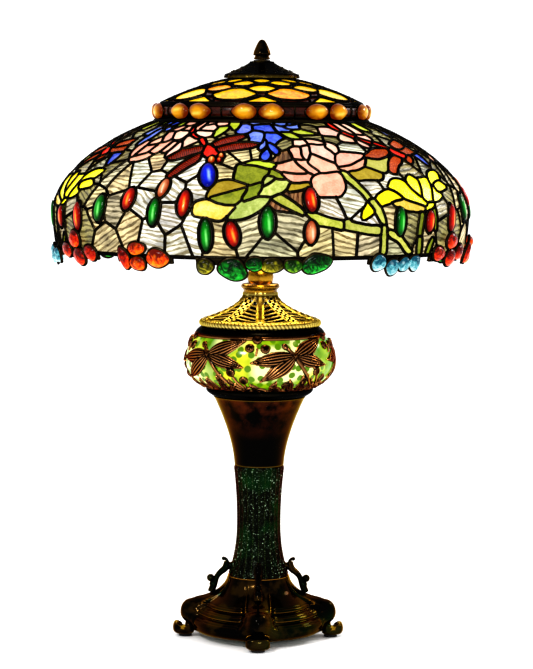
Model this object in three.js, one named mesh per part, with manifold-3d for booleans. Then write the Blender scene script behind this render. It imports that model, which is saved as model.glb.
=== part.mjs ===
// A leaded-glass table lamp with a lit glass bowl in its stem.
// Millimetres, +Z up. The origin is on the table, under the middle of the lamp; the front is towards -Y.
import * as THREE from "three";
import { mergeVertices } from "three/addons/utils/BufferGeometryUtils.js";
import Module from "manifold-3d";

const wasm = await Module();
wasm.setup();

// ---- Driving dimensions -------------------------------------------------------------------------

const GAP = 0.3; // between pieces that touch

const ROD_RADIUS = 4.8; // the hollow threaded rod that holds the stack together
const ROD_HOLE = 5.4;

const FOOT_COUNT = 4;
const PAD_HEIGHT = 3;
const BASE_TOP = 84;
const BASE_NECK_RADIUS = 41;
const SKIRT_BOTTOM = 11;
const BASE_SEGMENTS = 44;

const COLUMN_WAIST_RADIUS = 28.9;
const COLUMN_WAIST_HEIGHT = 157;
const COLUMN_TOP = 233;
const FLARE_TOP = 327;
const FLARE_TOP_RADIUS = 61.6;
const COLUMN_WALL = 3;

const BOWL_RADIUS = 98.4;
const BOWL_MIDDLE = 374;
const BOWL_BOTTOM = 341.3;
const BOWL_TOP = 413;
const BOWL_WALL = 3;
const MOTIF_COUNT = 5; // dragonflies round the bowl, and feather panels round the lid

const LID_BOTTOM = 430;
const LID_TOP = 466;
const LID_NECK_RADIUS = 23;
const LID_EDGE_RADIUS = 78;
const LID_WALL = 3;

const BALL_RADIUS = 17.6;
const BALL_CENTRE = 486;

const CLUSTER_HEIGHT = 578; // where the three socket axes meet the lamp's axis
const SOCKET_COUNT = 3;
const SOCKET_TILT = THREE.MathUtils.degToRad(15);
const SOCKET_TURN = THREE.MathUtils.degToRad(30);
const CHAIN_OFFSET = 52; // from the lamp's axis out to each pull chain
const CHAIN_BOTTOM = 504;

const SHADE_RADIUS = 277;
const SHADE_WIDEST = 573; // height at which the dome is widest
const SHADE_RISE = 147; // how far above that the dome's curve would close
const SHADE_POWER = 1.8;
const SHADE_TOP = 694;
const SHADE_RIM = 525;
const SHADE_TUCK = 5; // how far the skirt draws in at the rim
const GLASS_WALL = 3.2;
const SHADE_REPEATS = 3;

const BAND_RADIUS = 136;
const BAND_BOTTOM = 694.6;
const BAND_TOP = 716;
const CROWN_RISE = 38;
const CROWN_OPENING = 40;

const CAP_RADIUS = 50;
const CAP_BOTTOM = 749.2;
const CAP_TOP = 771.5;
const FINIAL_BOTTOM = 773.2;
const LAMP_TOP = 800;

// ---- Materials ----------------------------------------------------------------------------------

const material = (color, roughness, metalness, opacity = 1) =>
  new THREE.MeshStandardMaterial({ color, roughness, metalness, opacity, transparent: opacity < 1 });

const bronze = material(0x2b1d10, 0.35, 0.9);
const gilt = material(0xb08a3a, 0.35, 0.9);
const brass = material(0xb5923f, 0.3, 1);
const steel = material(0x9a9a98, 0.35, 1);
const blackPlastic = material(0x141414, 0.5, 0);
const felt = material(0x23301f, 0.95, 0);
const litBowlGlass = material(0xc6e06a, 0.25, 0, 0.85);
const bulbGlass = material(0xfff2d0, 0.2, 0, 0.8);
const shadeGlass = material(0xd8cfa0, 0.25, 0, 0.85);
const yellowGlass = material(0xf2c21a, 0.25, 0, 0.85);
const amberGlass = material(0xd98a12, 0.15, 0, 0.85);
const redGlass = material(0xb32408, 0.12, 0, 0.85);
const greenGlass = material(0x0b7a1c, 0.12, 0, 0.85);
const aquaGlass = material(0x5fb4bf, 0.12, 0, 0.85);

// ---- Geometry helpers ---------------------------------------------------------------------------

// One closed mesh: shared vertices merged, collapsed faces dropped and faces turned outwards.
function closed(geometry) {
  const bare = new THREE.BufferGeometry().setAttribute("position", geometry.getAttribute("position"));
  if (geometry.index) bare.setIndex(geometry.index);
  const merged = mergeVertices(bare, 1e-3);
  const faces = merged.index.array;
  const kept = [];
  for (let i = 0; i < faces.length; i += 3) {
    const [a, b, c] = [faces[i], faces[i + 1], faces[i + 2]];
    if (a !== b && b !== c && a !== c) kept.push(a, b, c);
  }
  merged.setIndex(kept);
  if (signedVolume(merged) < 0) {
    for (let i = 0; i < kept.length; i += 3) [kept[i + 1], kept[i + 2]] = [kept[i + 2], kept[i + 1]];
    merged.setIndex(kept);
  }
  return merged;
}

function signedVolume(geometry) {
  const position = geometry.getAttribute("position");
  const faces = geometry.index.array;
  const [a, b, c] = [new THREE.Vector3(), new THREE.Vector3(), new THREE.Vector3()];
  let sum = 0;
  for (let i = 0; i < faces.length; i += 3) {
    a.fromBufferAttribute(position, faces[i]);
    b.fromBufferAttribute(position, faces[i + 1]);
    c.fromBufferAttribute(position, faces[i + 2]);
    sum += a.dot(b.cross(c));
  }
  return sum / 6;
}

function manifold(geometry) {
  const mesh = closed(geometry);
  return new wasm.Manifold(
    new wasm.Mesh({
      numProp: 3,
      vertProperties: new Float32Array(mesh.getAttribute("position").array),
      triVerts: new Uint32Array(mesh.index.array),
    }),
  );
}

function fromManifold(solid) {
  const mesh = solid.getMesh();
  return new THREE.BufferGeometry()
    .setAttribute("position", new THREE.BufferAttribute(mesh.vertProperties, 3))
    .setIndex(new THREE.BufferAttribute(mesh.triVerts, 1));
}

const union = (geometries) => fromManifold(geometries.map(manifold).reduce((sum, one) => sum.add(one)));

const cut = (geometry, cutters) =>
  fromManifold(cutters.map(manifold).reduce((rest, one) => rest.subtract(one), manifold(geometry)));

// A profile of [radius, height] points, turned about Z. Its ends close on themselves, or lie on the axis.
function turned(profile, segments = 24) {
  const onAxis = profile[0][0] === 0 && profile.at(-1)[0] === 0;
  const outline = onAxis ? profile : [...profile, profile[0]];
  const points = outline.map(([radius, height]) => new THREE.Vector2(radius, height));
  return closed(new THREE.LatheGeometry(points, segments).rotateX(Math.PI / 2));
}

const tube = (outer, inner, bottom, top, segments = 20) =>
  turned([[inner, bottom], [outer, bottom], [outer, top], [inner, top]], segments);

// Heights from bottom to top with their radius, as profile points.
function curve(bottom, top, steps, radiusAt) {
  return Array.from({ length: steps + 1 }, (_, i) => {
    const height = bottom + ((top - bottom) * i) / steps;
    return [radiusAt(height), height];
  });
}

// A closed ring whose profile may change with the angle: profileAt(angle) gives the same number of
// points each time.
function ringOf(profileAt, segments) {
  const rows = Array.from({ length: segments }, (_, i) => {
    const angle = (2 * Math.PI * i) / segments;
    const place = ([radius, height]) => [radius * Math.cos(angle), radius * Math.sin(angle), height];
    return profileAt(angle).map(place);
  });
  const count = rows[0].length;
  const faces = [];
  for (let i = 0; i < segments; i++)
    for (let j = 0; j < count; j++) {
      const [a, b] = [i * count + j, i * count + ((j + 1) % count)];
      const [c, d] = [((i + 1) % segments) * count + j, ((i + 1) % segments) * count + ((j + 1) % count)];
      faces.push(a, c, d, a, d, b);
    }
  const geometry = new THREE.BufferGeometry();
  geometry.setAttribute("position", new THREE.Float32BufferAttribute(rows.flat(2), 3));
  geometry.setIndex(faces);
  return closed(geometry);
}

// An outline in the plane of X (outwards) and Z (up), as thick as width along Y.
function slab(points, width) {
  const shape = new THREE.Shape(points.map(([x, y]) => new THREE.Vector2(x, y)));
  return new THREE.ExtrudeGeometry(shape, { depth: width, bevelEnabled: false })
    .translate(0, 0, -width / 2)
    .rotateX(Math.PI / 2);
}

// A round bar along a smooth curve through points in the X-Z plane.
function bar(points, radius, steps, sides = 8) {
  const path = new THREE.CatmullRomCurve3(points.map(([x, z]) => new THREE.Vector3(x, 0, z)));
  const section = new THREE.Shape().absarc(0, 0, radius, 0, 2 * Math.PI);
  return closed(
    new THREE.ExtrudeGeometry(section, {
      steps,
      curveSegments: sides / 2,
      extrudePath: path,
      bevelEnabled: false,
    }),
  );
}

const lamp = new THREE.Group();

function add(name, geometry, look, parent = lamp) {
  const mesh = new THREE.Mesh(geometry, look);
  mesh.name = name;
  parent.add(mesh);
  return mesh;
}

// ---- Base: a cast foot with four knees, pads, cover plate and cord bushing ----------------------

// Outer profiles from the neck down to the skirt, between the knees and over a knee.
const VALLEY = [[41, 84], [45, 74], [52, 63], [63, 53], [79, 44], [81, 38], [90, 32], [91, 18], [86, 11]];
const KNEE = [[41, 84], [46, 76], [58, 67], [75, 60], [93, 50], [101, 42], [103, 32], [99, 19], [92, 11]];
const VALLEY_CAVITY = [[82, 11], [84, 26], [56, 49], [39, 68], [30, 79], [ROD_HOLE, 79]];
const KNEE_CAVITY = [[84, 11], [95, 26], [73, 53], [46, 69], [30, 79], [ROD_HOLE, 79]];

const kneeShare = (angle) => ((1 + Math.cos(FOOT_COUNT * angle)) / 2) ** 4.2;

function baseProfile(angle) {
  const share = kneeShare(angle);
  const between = (valley, knee) =>
    valley.map(([radius, height], i) => [
      radius + (knee[i][0] - radius) * share,
      height + (knee[i][1] - height) * share,
    ]);
  return [[ROD_HOLE, BASE_TOP], ...between(VALLEY, KNEE), ...between(VALLEY_CAVITY, KNEE_CAVITY)];
}

// A foot from the side: ankle, sole and a toe that curls up and out.
const FOOT_OUTLINE = [
  [86, 24], [99, 24], [95.5, 17], [98, 12], [104, 10.5], [108.5, 14], [110, 20], [114, 18.5],
  [115.5, 11], [113, 5], [107, 3.3], [88, 3.3], [85, 8],
];
const FOOT_WIDTH = 32;

function baseCasting() {
  const feet = Array.from({ length: FOOT_COUNT }, (_, i) =>
    slab(FOOT_OUTLINE, FOOT_WIDTH).rotateZ((2 * Math.PI * i) / FOOT_COUNT),
  );
  const inletHole = new THREE.CylinderGeometry(5.2, 5.2, 40, 12).rotateZ(Math.PI / 2).translate(86, 0, 24);
  const body = union([ringOf(baseProfile, BASE_SEGMENTS), ...feet]);
  return cut(body, [inletHole.rotateZ(Math.PI / FOOT_COUNT)]);
}

function cordBushing() {
  const flange = [[3.2, -2], [4.8, -2], [4.8, 10], [7, 10], [7, 12], [3.2, 12]];
  return turned(flange, 12)
    .rotateY(Math.PI / 2)
    .translate(81.2, 0, 24)
    .rotateZ(Math.PI / FOOT_COUNT);
}

const SIDES = ["right", "back", "left", "front"];

function scrollArm() {
  const strap = bar([[41.5, 101], [44, 92], [51, 87], [56, 81], [58, 74], [61.5, 69.5]], 3.6, 9);
  const topLip = bar([[41, 100], [42.5, 104], [46, 105.5]], 2.4, 3);
  const ball = new THREE.SphereGeometry(5, 8, 6).translate(64.5, 0, 79);
  return union([strap, topLip, ball]);
}

add("base_casting", baseCasting(), bronze);
SIDES.forEach((side, i) => {
  const turn = (2 * Math.PI * i) / FOOT_COUNT;
  add(`scroll_arm_${side}`, scrollArm(), bronze).rotation.z = turn;
  const pad = new THREE.CylinderGeometry(9, 9, PAD_HEIGHT, 10)
    .rotateX(Math.PI / 2)
    .translate(98, 0, PAD_HEIGHT / 2);
  add(`foot_pad_${side}`, closed(pad), felt).rotation.z = turn;
});
add("base_cover_plate", tube(79, ROD_HOLE, 13, 14.5, 24), steel);
add("base_felt", tube(78, ROD_HOLE, 11.4, 12.7, 24), felt);
add("cord_bushing", cordBushing(), blackPlastic);

// ---- Column: textured lower casting, trumpet above it, and the rod with its nut -----------------

function columnRadius(height) {
  if (height > COLUMN_WAIST_HEIGHT) {
    const share = (height - COLUMN_WAIST_HEIGHT) / (COLUMN_TOP - COLUMN_WAIST_HEIGHT);
    return COLUMN_WAIST_RADIUS + 4.8 * share ** 2;
  }
  const share = (COLUMN_WAIST_HEIGHT - height) / (COLUMN_WAIST_HEIGHT - BASE_TOP);
  return COLUMN_WAIST_RADIUS + (BASE_NECK_RADIUS - COLUMN_WAIST_RADIUS) * share ** 2.3;
}

const flareRadius = (height) =>
  33 + (FLARE_TOP_RADIUS - 33) * ((height - COLUMN_TOP) / (FLARE_TOP - COLUMN_TOP)) ** 1.6;

function shell(bottom, top, steps, radiusAt, wall, segments) {
  const outside = curve(bottom, top, steps, radiusAt);
  const inside = outside.map(([radius, height]) => [radius - wall, height]).reverse();
  return turned([...outside, ...inside], segments);
}

add("column_sleeve", shell(BASE_TOP + GAP, COLUMN_TOP, 7, columnRadius, COLUMN_WALL, 24), bronze);
add("column_flare", shell(COLUMN_TOP + GAP, FLARE_TOP, 6, flareRadius, COLUMN_WALL, 24), bronze);
add("threaded_rod", tube(ROD_RADIUS, 3.2, 58, 566, 12), steel);
add("rod_washer", tube(17, ROD_HOLE, 75, 77.6, 16), steel);

function rodNut() {
  const hexagon = turned([[0, 67], [9.5, 67], [9.5, 74.7], [0, 74.7]], 6);
  const bore = new THREE.CylinderGeometry(ROD_HOLE, ROD_HOLE, 20, 12).rotateX(Math.PI / 2);
  return cut(hexagon, [bore.translate(0, 0, 71)]);
}

add("rod_nut", rodNut(), steel);

// ---- Lit bowl: seat, glass, dragonfly overlay, night light and gallery ring ---------------------

function bowlRadius(height) {
  const halfHeight = height < BOWL_MIDDLE ? 46 : 66;
  const share = Math.abs(height - BOWL_MIDDLE) / halfHeight;
  return BOWL_RADIUS * (1 - share ** 2.2) ** (1 / 2.2);
}

const SEAT = [
  [ROD_HOLE, 336], [53, 336], [56, 327.3], [61, 327.3], [66, 329.5], [70, 332.5], [71.5, 336],
  [68, 341], [ROD_HOLE, 341],
];
add("bowl_seat", turned(SEAT, 28), bronze);

const bowlSide = (proud) => curve(BOWL_BOTTOM, BOWL_TOP, 6, (height) => bowlRadius(height) + proud);

function glassBowl() {
  const outside = [[8, BOWL_BOTTOM], ...bowlSide(0), [66.5, 416.5]];
  const liningRadius = (height) => bowlRadius(height) - BOWL_WALL;
  const lining = curve(BOWL_BOTTOM + BOWL_WALL, BOWL_TOP - 1.5, 6, liningRadius).reverse();
  return turned([...outside, [65, 413.8], ...lining, [8, BOWL_BOTTOM + BOWL_WALL]], 20);
}

add("glass_bowl", glassBowl(), litBowlGlass);

// A lens-shaped leaf or wing, pointing along +Y from the origin.
function leafShape(length, width) {
  const shape = new THREE.Shape().moveTo(0, 0);
  shape.quadraticCurveTo(width * 0.75, length * 0.55, 0, length);
  shape.quadraticCurveTo(-width * 0.75, length * 0.55, 0, 0);
  return shape;
}

// A flat outline, turned and moved on the drawing, then stood up to cut outwards through the front
// of the bowl.
function stencil(shape, turn, across, up) {
  return new THREE.ExtrudeGeometry(shape, { depth: 60, bevelEnabled: false, curveSegments: 2 })
    .rotateZ(turn)
    .translate(across, up, 0)
    .rotateX(Math.PI / 2)
    .translate(0, -50, BOWL_MIDDLE);
}

function dragonflyOverlay() {
  const cage = manifold(turned([...bowlSide(2.8), ...bowlSide(0.8).reverse()], 20));
  const drawing = [
    [leafShape(52, 16), -1.05, 2, 12], // upper wing
    [leafShape(44, 13), 1.75, 0, 10], // lower wings
    [leafShape(46, 13), 2.25, 0, 8],
    [leafShape(66, 9), Math.PI + 0.42, -7, 24], // body, head up
    [leafShape(40, 12), 0.25, 30, -34], // water leaf
    [leafShape(56, 10), -0.35, -22, -10], // berry twig
  ];
  const motifs = Array.from({ length: MOTIF_COUNT }, (_, i) =>
    drawing.map(([shape, turn, across, up]) =>
      manifold(stencil(shape, turn, across, up).rotateZ((2 * Math.PI * i) / MOTIF_COUNT + 0.18)),
    ),
  ).flat();
  const rings = [tube(110, 60, 342, 346.5, 20), tube(110, 60, 408.5, 412, 20)].map(manifold);
  const stencils = [...motifs, ...rings].reduce((sum, one) => sum.add(one));
  const pieces = cage.intersect(stencils).decompose();
  return fromManifold(pieces.sort((a, b) => b.volume() - a.volume())[0]);
}

add("dragonfly_overlay", dragonflyOverlay(), bronze);

const GALLERY = [
  [66.8, 417], [68.2, 417], [70, 418.5], [70, 425], [66, 428], [60, 428], [60, 420], [66.8, 418.6],
];
add("gallery_ring", turned(GALLERY, 28), bronze);

// The night light stands beside the rod, in a bracket clamped round it.
function nightLightBracket() {
  const clamp = tube(9, ROD_HOLE, 346, 352, 14);
  const arm = new THREE.BoxGeometry(34, 8, 2.5).translate(22, 0, 348.5);
  const holder = tube(12, 2, 347, 350, 16).translate(37, 0, 0);
  return cut(union([clamp, arm, holder]), [tube(ROD_HOLE, 0.5, 340, 360, 14)]);
}

const CANDLE_BULB = [[6.5, 358.6], [6.5, 375], [10, 380], [11.5, 388], [9.5, 398], [4.5, 407], [0, 410]];
add("night_light_bracket", nightLightBracket(), brass);
const NIGHT_SOCKET = [[0, 350.4], [9.5, 350.4], [9.5, 374], [7.2, 374], [7.2, 357], [0, 357]];
add("night_light_socket", turned(NIGHT_SOCKET, 14).translate(37, 0, 0), blackPlastic);
add("night_light_bulb", hollowBulb(CANDLE_BULB).translate(37, 0, 0), bulbGlass);

// ---- Pierced lid, rope edging, collar and ball --------------------------------------------------

const lidRadius = (height) => {
  const share = (LID_TOP - height) / (LID_TOP - LID_BOTTOM);
  return LID_NECK_RADIUS + (LID_EDGE_RADIUS - LID_NECK_RADIUS) * share ** 2;
};

// A slot through the lid's wall beside a panel's middle rib, slanting up towards it.
function lidSlot(panel, side, row) {
  const height = 457 - 7.5 * row;
  const length = 8 + 5 * row;
  const radius = lidRadius(height);
  const aside = (3.5 + length / 2) / radius;
  return new THREE.BoxGeometry(length, 40, 3)
    .rotateY(side * 0.32)
    .translate(0, -radius, height)
    .rotateZ((2 * Math.PI * panel) / MOTIF_COUNT + side * aside + 0.14);
}

function piercedLid() {
  const slots = [];
  for (let panel = 0; panel < MOTIF_COUNT; panel++)
    for (const side of [-1, 1]) for (let row = 0; row < 3; row++) slots.push(lidSlot(panel, side, row));
  const outside = curve(LID_BOTTOM, LID_TOP, 5, lidRadius);
  const insideRadius = (height) => lidRadius(height) - LID_WALL * 1.4;
  const inside = curve(LID_BOTTOM, LID_TOP - LID_WALL, 3, insideRadius).reverse();
  const cone = turned([...outside, [ROD_HOLE, LID_TOP], [ROD_HOLE, LID_TOP - LID_WALL], ...inside], 20);
  return cut(cone, slots);
}

const ROPE = Array.from({ length: 6 }, (_, i) => {
  const angle = (2 * Math.PI * i) / 6 + Math.PI / 6;
  return [77.4 + 4.6 * Math.cos(angle), 425.1 + 4.6 * Math.sin(angle)];
});
const COLLAR = [
  [ROD_HOLE, 466.3], [22.5, 466.3], [23, 468.5], [25.7, 471.5], [25.7, 475], [23.5, 477],
  [ROD_HOLE, 477],
];

add("pierced_lid", piercedLid(), gilt);
add("rope_edging", turned(ROPE, 36), gilt);
add("lid_collar", turned(COLLAR, 20), gilt);

const ballRadius = (height) => Math.sqrt(BALL_RADIUS ** 2 - (height - BALL_CENTRE) ** 2);
const ballSide = curve(477.3, 496, 6, ballRadius);
add("neck_ball", turned([[ROD_HOLE, 477.3], ...ballSide, [ROD_HOLE, 496]], 20), gilt);

// ---- Lamp cluster: three sockets with bulbs and pull chains -------------------------------------

add("spacer_tube", tube(8, ROD_HOLE, 496.3, 560, 14), brass);

function socketCluster() {
  const outline = [[0, 560.3], [14, 560.3], [18, 566], [18, 590], [14, 597], [8, 600], [0, 600]];
  const body = turned(outline, 18);
  const arms = Array.from({ length: SOCKET_COUNT }, (_, i) => alongSocket(tube(9, 1, 8, 27.5, 12), i));
  const rodPocket = new THREE.CylinderGeometry(ROD_HOLE, ROD_HOLE, 20, 12)
    .rotateX(Math.PI / 2)
    .translate(0, 0, 557);
  const riserPocket = new THREE.CylinderGeometry(5.2, 5.2, 20, 12)
    .rotateX(Math.PI / 2)
    .translate(0, 0, 598);
  return cut(union([body, ...arms]), [rodPocket, riserPocket]);
}

// Lays a piece made along +Z onto socket i's axis, which leaves the lamp's axis outwards and slightly
// upwards.
function alongSocket(geometry, i) {
  return geometry
    .clone()
    .rotateY(Math.PI / 2 - SOCKET_TILT)
    .translate(0, 0, CLUSTER_HEIGHT)
    .rotateZ((2 * Math.PI * i) / SOCKET_COUNT + SOCKET_TURN);
}

const SOCKET = [
  [0, 28], [10, 28], [16, 34], [16, 44], [17.5, 46], [17.5, 84], [15.5, 84], [15.5, 50], [0, 50],
];
const BULB = [[12.8, 53], [12.8, 81], [21.5, 98], [27, 112], [27, 125], [16, 145], [0, 150]];

// A hollow bulb along +Z, open in the middle of its foot.
function hollowBulb(outside) {
  const inside = outside.map(([radius, height], i) => {
    if (i === 0) return [radius - 1, height + 1];
    return [Math.max(radius - 1, 0), height - 1];
  });
  return turned([[2, outside[0][1]], ...outside, ...inside.reverse(), [2, outside[0][1] + 1]], 12);
}

// A bead chain, drawn as a plain round one, with a bell at its end. It hangs below the socket's housing.
function pullChain() {
  const axisHeight = CLUSTER_HEIGHT + CHAIN_OFFSET * Math.tan(SOCKET_TILT);
  const socketUnderside = axisHeight - 17.5 / Math.cos(SOCKET_TILT) - 1.2;
  const bell = [[0, CHAIN_BOTTOM], [3.6, CHAIN_BOTTOM], [3.2, CHAIN_BOTTOM + 6], [1.6, CHAIN_BOTTOM + 12]];
  const chain = [[1.6, socketUnderside], [0, socketUnderside]];
  return turned([...bell, ...chain], 8).translate(CHAIN_OFFSET, 0, 0);
}

add("socket_cluster", socketCluster(), brass);
for (let i = 0; i < SOCKET_COUNT; i++) {
  add(`socket_${i + 1}`, alongSocket(turned(SOCKET, 16), i), brass);
  add(`bulb_${i + 1}`, alongSocket(hollowBulb(BULB), i), bulbGlass);
  const chain = add(`pull_chain_${i + 1}`, pullChain(), brass);
  chain.rotation.z = (2 * Math.PI * i) / SOCKET_COUNT + SOCKET_TURN;
}

// ---- Riser, shade wheel, heat cap and finial ----------------------------------------------------

const RISER = [[0, 588.3], [4.8, 588.3], [4.8, 738], [4.8, 771], [3.2, 773], [3.2, 786], [0, 786]];
add("shade_riser", turned(RISER, 12), brass);

function shadeWheel() {
  const hub = tube(10, 5.2, 738, 744, 16);
  const rim = tube(37, 32, 740, 743.5, 24);
  const spokes = [0, 1, 2].map((i) =>
    new THREE.BoxGeometry(26, 6, 3).translate(21, 0, 741.6).rotateZ((2 * Math.PI * i) / 3),
  );
  return union([hub, rim, ...spokes]);
}

const CAP_OUTSIDE = [[50, 749.2], [50, 752.5], [47.6, 754.6], [31, 761.8], [16.5, 769.5], [12.6, 771.5]];
const CAP_INSIDE = [[5.2, 771.5], [5.2, 768.5], [15, 766.5], [30, 760], [46, 752], [47, 749.2]];
const FINIAL = [
  [3.5, 773.2], [9.5, 773.2], [10.6, 775], [9.4, 777.4], [11.3, 780.5], [10.4, 785.5], [8.4, 790],
  [6.6, 794], [4.4, 797.8], [2.2, 799.6], [0, LAMP_TOP], [0, 787], [3.5, 787],
];

add("shade_wheel", shadeWheel(), brass);
add("heat_cap", turned([...CAP_OUTSIDE, ...CAP_INSIDE], 24), bronze);
add("finial_washer", tube(11, 5.2, CAP_TOP + GAP, FINIAL_BOTTOM - GAP, 20), brass);
add("finial", finial(), bronze);

function finial() {
  const outside = FINIAL.filter(([radius]) => radius > 3.5);
  const body = turned([[0, FINIAL_BOTTOM], ...outside, [2.2, 799.6], [0, LAMP_TOP]], 20);
  const thread = new THREE.CylinderGeometry(3.5, 3.5, 14.5, 12).rotateX(Math.PI / 2).translate(0, 0, 779.9);
  return cut(body, [thread]);
}

// ---- Shade: leaded dome, jewelled rim, crown band and crown -------------------------------------

function shadeRadius(height) {
  if (height < SHADE_WIDEST) {
    const below = (SHADE_WIDEST - height) / (SHADE_WIDEST - SHADE_RIM);
    return SHADE_RADIUS - SHADE_TUCK * below ** 1.5;
  }
  const above = (height - SHADE_WIDEST) / SHADE_RISE;
  return SHADE_RADIUS * (1 - above ** SHADE_POWER) ** (1 / SHADE_POWER);
}

const shadeSteps = [525, 549, 573, 596, 617, 637, 655, 671, 684, 694];
const shadeOutside = shadeSteps.map((height) => [shadeRadius(height), height]);
// The wall, measured level, which grows as the dome leans in.
const shadeWall = (height) => GLASS_WALL + 0.028 * (height - SHADE_RIM);
const shadeInside = shadeSteps.map((height) => [shadeRadius(height) - shadeWall(height), height]);
add("shade_dome", turned([...shadeOutside, ...shadeInside.reverse()], 36), shadeGlass);

// Cabochons that hang below the rim. Each cluster: name, look, and its stones as
// [degrees from the front, drop below the rim, half width, half height].
const CLUSTERS = [
  ["red", redGlass, [[55.5, 0, 11, 10], [62, 0, 12, 12], [68, 0, 11, 10]]],
  ["orange", redGlass, [[-39, 0, 8, 12], [-34, 0, 12, 12], [-28, 0, 14, 10]]],
  [
    "green",
    greenGlass,
    [
      [-14.5, 1, 10, 10], [-7, 0, 16, 12], [-1.8, 0, 11, 9],
      [3, 0, 12, 10], [8.5, 0, 11, 9], [14.5, 0, 16, 10],
    ],
  ],
  ["aqua", aquaGlass, [[32.5, 0, 10, 10], [37, 1, 10, 11], [41, 0, 9, 10], [45, 0, 10, 11]]],
];

// Degrees about Z, from the front towards +X, to the angle three.js measures from +X.
const fromFront = (degrees) => THREE.MathUtils.degToRad(degrees - 90);

// The stones of one cluster, held by a strip of came that follows the rim.
function jewelCluster(stones, turn) {
  const radius = SHADE_RADIUS - 10;
  const blobs = stones.map(([degrees, drop, halfWidth, halfHeight]) =>
    new THREE.SphereGeometry(1, 6, 4)
      .rotateX(Math.PI / 2)
      .scale(4.6, halfWidth, halfHeight)
      .translate(radius, 0, SHADE_RIM - GAP - halfHeight - drop)
      .rotateZ(fromFront(degrees + turn)),
  );
  const [first, last] = [stones[0][0], stones.at(-1)[0]].map((degrees) => fromFront(degrees + turn));
  const outline = new THREE.Shape();
  outline.absarc(0, 0, radius + 2, first, last, false);
  outline.absarc(0, 0, radius - 2, last, first, true);
  const came = new THREE.ExtrudeGeometry(outline, { depth: 6, bevelEnabled: false, curveSegments: 4 });
  return union([came.translate(0, 0, SHADE_RIM - GAP - 6), ...blobs]);
}

CLUSTERS.forEach(([name, look, stones]) => {
  for (let i = 0; i < SHADE_REPEATS; i++)
    add(`rim_jewels_${name}_${i + 1}`, jewelCluster(stones, (360 * i) / SHADE_REPEATS), look);
});

const BAND = [
  [BAND_RADIUS - 5, BAND_BOTTOM], [BAND_RADIUS - 1, BAND_BOTTOM], [BAND_RADIUS + 4, 700],
  [BAND_RADIUS + 5, 705.5], [BAND_RADIUS + 4, 711], [BAND_RADIUS - 1, BAND_TOP],
  [BAND_RADIUS - 5, BAND_TOP],
];
add("crown_band", turned(BAND, 36), amberGlass);

const crownHeight = (radius) => BAND_TOP + GAP + CROWN_RISE * (1 - (radius / BAND_RADIUS) ** SHADE_POWER);

function crownDome() {
  const rim = BAND_RADIUS - 1;
  const radii = Array.from({ length: 6 }, (_, i) => rim - ((rim - CROWN_OPENING) * i) / 5);
  const outside = radii.map((radius) => [radius, crownHeight(radius)]);
  const underside = (radius) => Math.max(crownHeight(radius) - GLASS_WALL, BAND_TOP + GAP);
  const inside = radii.map((radius) => [radius - 1.4, underside(radius)]);
  return turned([...outside, ...inside.reverse()], 36);
}

add("crown_dome", crownDome(), yellowGlass);

const AP_BOTTOM = crownHeight(CROWN_OPENING) - GLASS_WALL - 0.4;
add("aperture_ring", tube(CROWN_OPENING - 2, 34, 743.8, AP_BOTTOM + 3.4, 24), brass);

export default lamp;
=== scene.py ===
import math

import bpy
import numpy as np
from mathutils import Matrix, Vector


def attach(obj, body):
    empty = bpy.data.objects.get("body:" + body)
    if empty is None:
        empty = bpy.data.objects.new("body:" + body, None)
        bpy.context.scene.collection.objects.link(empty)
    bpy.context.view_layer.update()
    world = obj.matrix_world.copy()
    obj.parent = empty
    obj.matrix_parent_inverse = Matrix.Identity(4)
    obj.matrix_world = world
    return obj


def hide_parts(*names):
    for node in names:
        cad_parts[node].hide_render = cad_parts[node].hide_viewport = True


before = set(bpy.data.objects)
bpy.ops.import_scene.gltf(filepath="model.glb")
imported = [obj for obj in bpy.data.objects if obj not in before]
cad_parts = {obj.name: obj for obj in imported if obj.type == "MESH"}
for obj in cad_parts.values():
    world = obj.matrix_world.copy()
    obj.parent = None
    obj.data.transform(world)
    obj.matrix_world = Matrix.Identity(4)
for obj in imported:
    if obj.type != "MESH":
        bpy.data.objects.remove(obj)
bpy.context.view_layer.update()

MM = 0.001
PINHOLE = 0.01  # radius left open where a turned profile meets its axis, mm
BORE = 5.4  # radius of the hole for the rod, mm
rng = np.random.default_rng(7)


# ---- Colour ------------------------------------------------------------------------------------

# Looks take screen colours, 0 to 255, and a plain number is a linear grey. Lights take linear colours.

def linear(colour):
    """A screen colour or a grey as the opaque linear colour that shaders take."""
    if isinstance(colour, (int, float)):
        return (colour, colour, colour, 1.0)
    c = np.array(colour, float) / 255
    return (*np.where(c <= 0.04045, c / 12.92, ((c + 0.055) / 1.055) ** 2.4).tolist(), 1.0)


# ---- Mesh building -----------------------------------------------------------------------------

def circle(count):
    """Points round a circle of radius 1."""
    angle = np.linspace(0, 2 * np.pi, count, endpoint=False)
    return np.stack([np.cos(angle), np.sin(angle)], 1)


def ball_grid(radius, rings, segments):
    """A ball about the origin, open only in a pinhole at each pole."""
    near_pole = 1.5
    lat, lon = np.meshgrid(np.linspace(-near_pole, near_pole, rings),
                           np.linspace(0, 2 * np.pi, segments, endpoint=False), indexing="ij")
    return np.stack([np.cos(lat) * np.cos(lon), np.cos(lat) * np.sin(lon), np.sin(lat)], -1) * radius


def quads_of(index):
    """The four corners of every cell in a grid of vertex numbers."""
    return np.stack([index[:-1, :-1], index[1:, :-1], index[1:, 1:], index[:-1, 1:]], -1)


def wrapped_quads(columns, rows):
    """The cells of a grid whose last column joins its first."""
    index = np.arange(columns * rows).reshape(columns, rows)
    return quads_of(np.vstack([index, index[:1]]))


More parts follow.
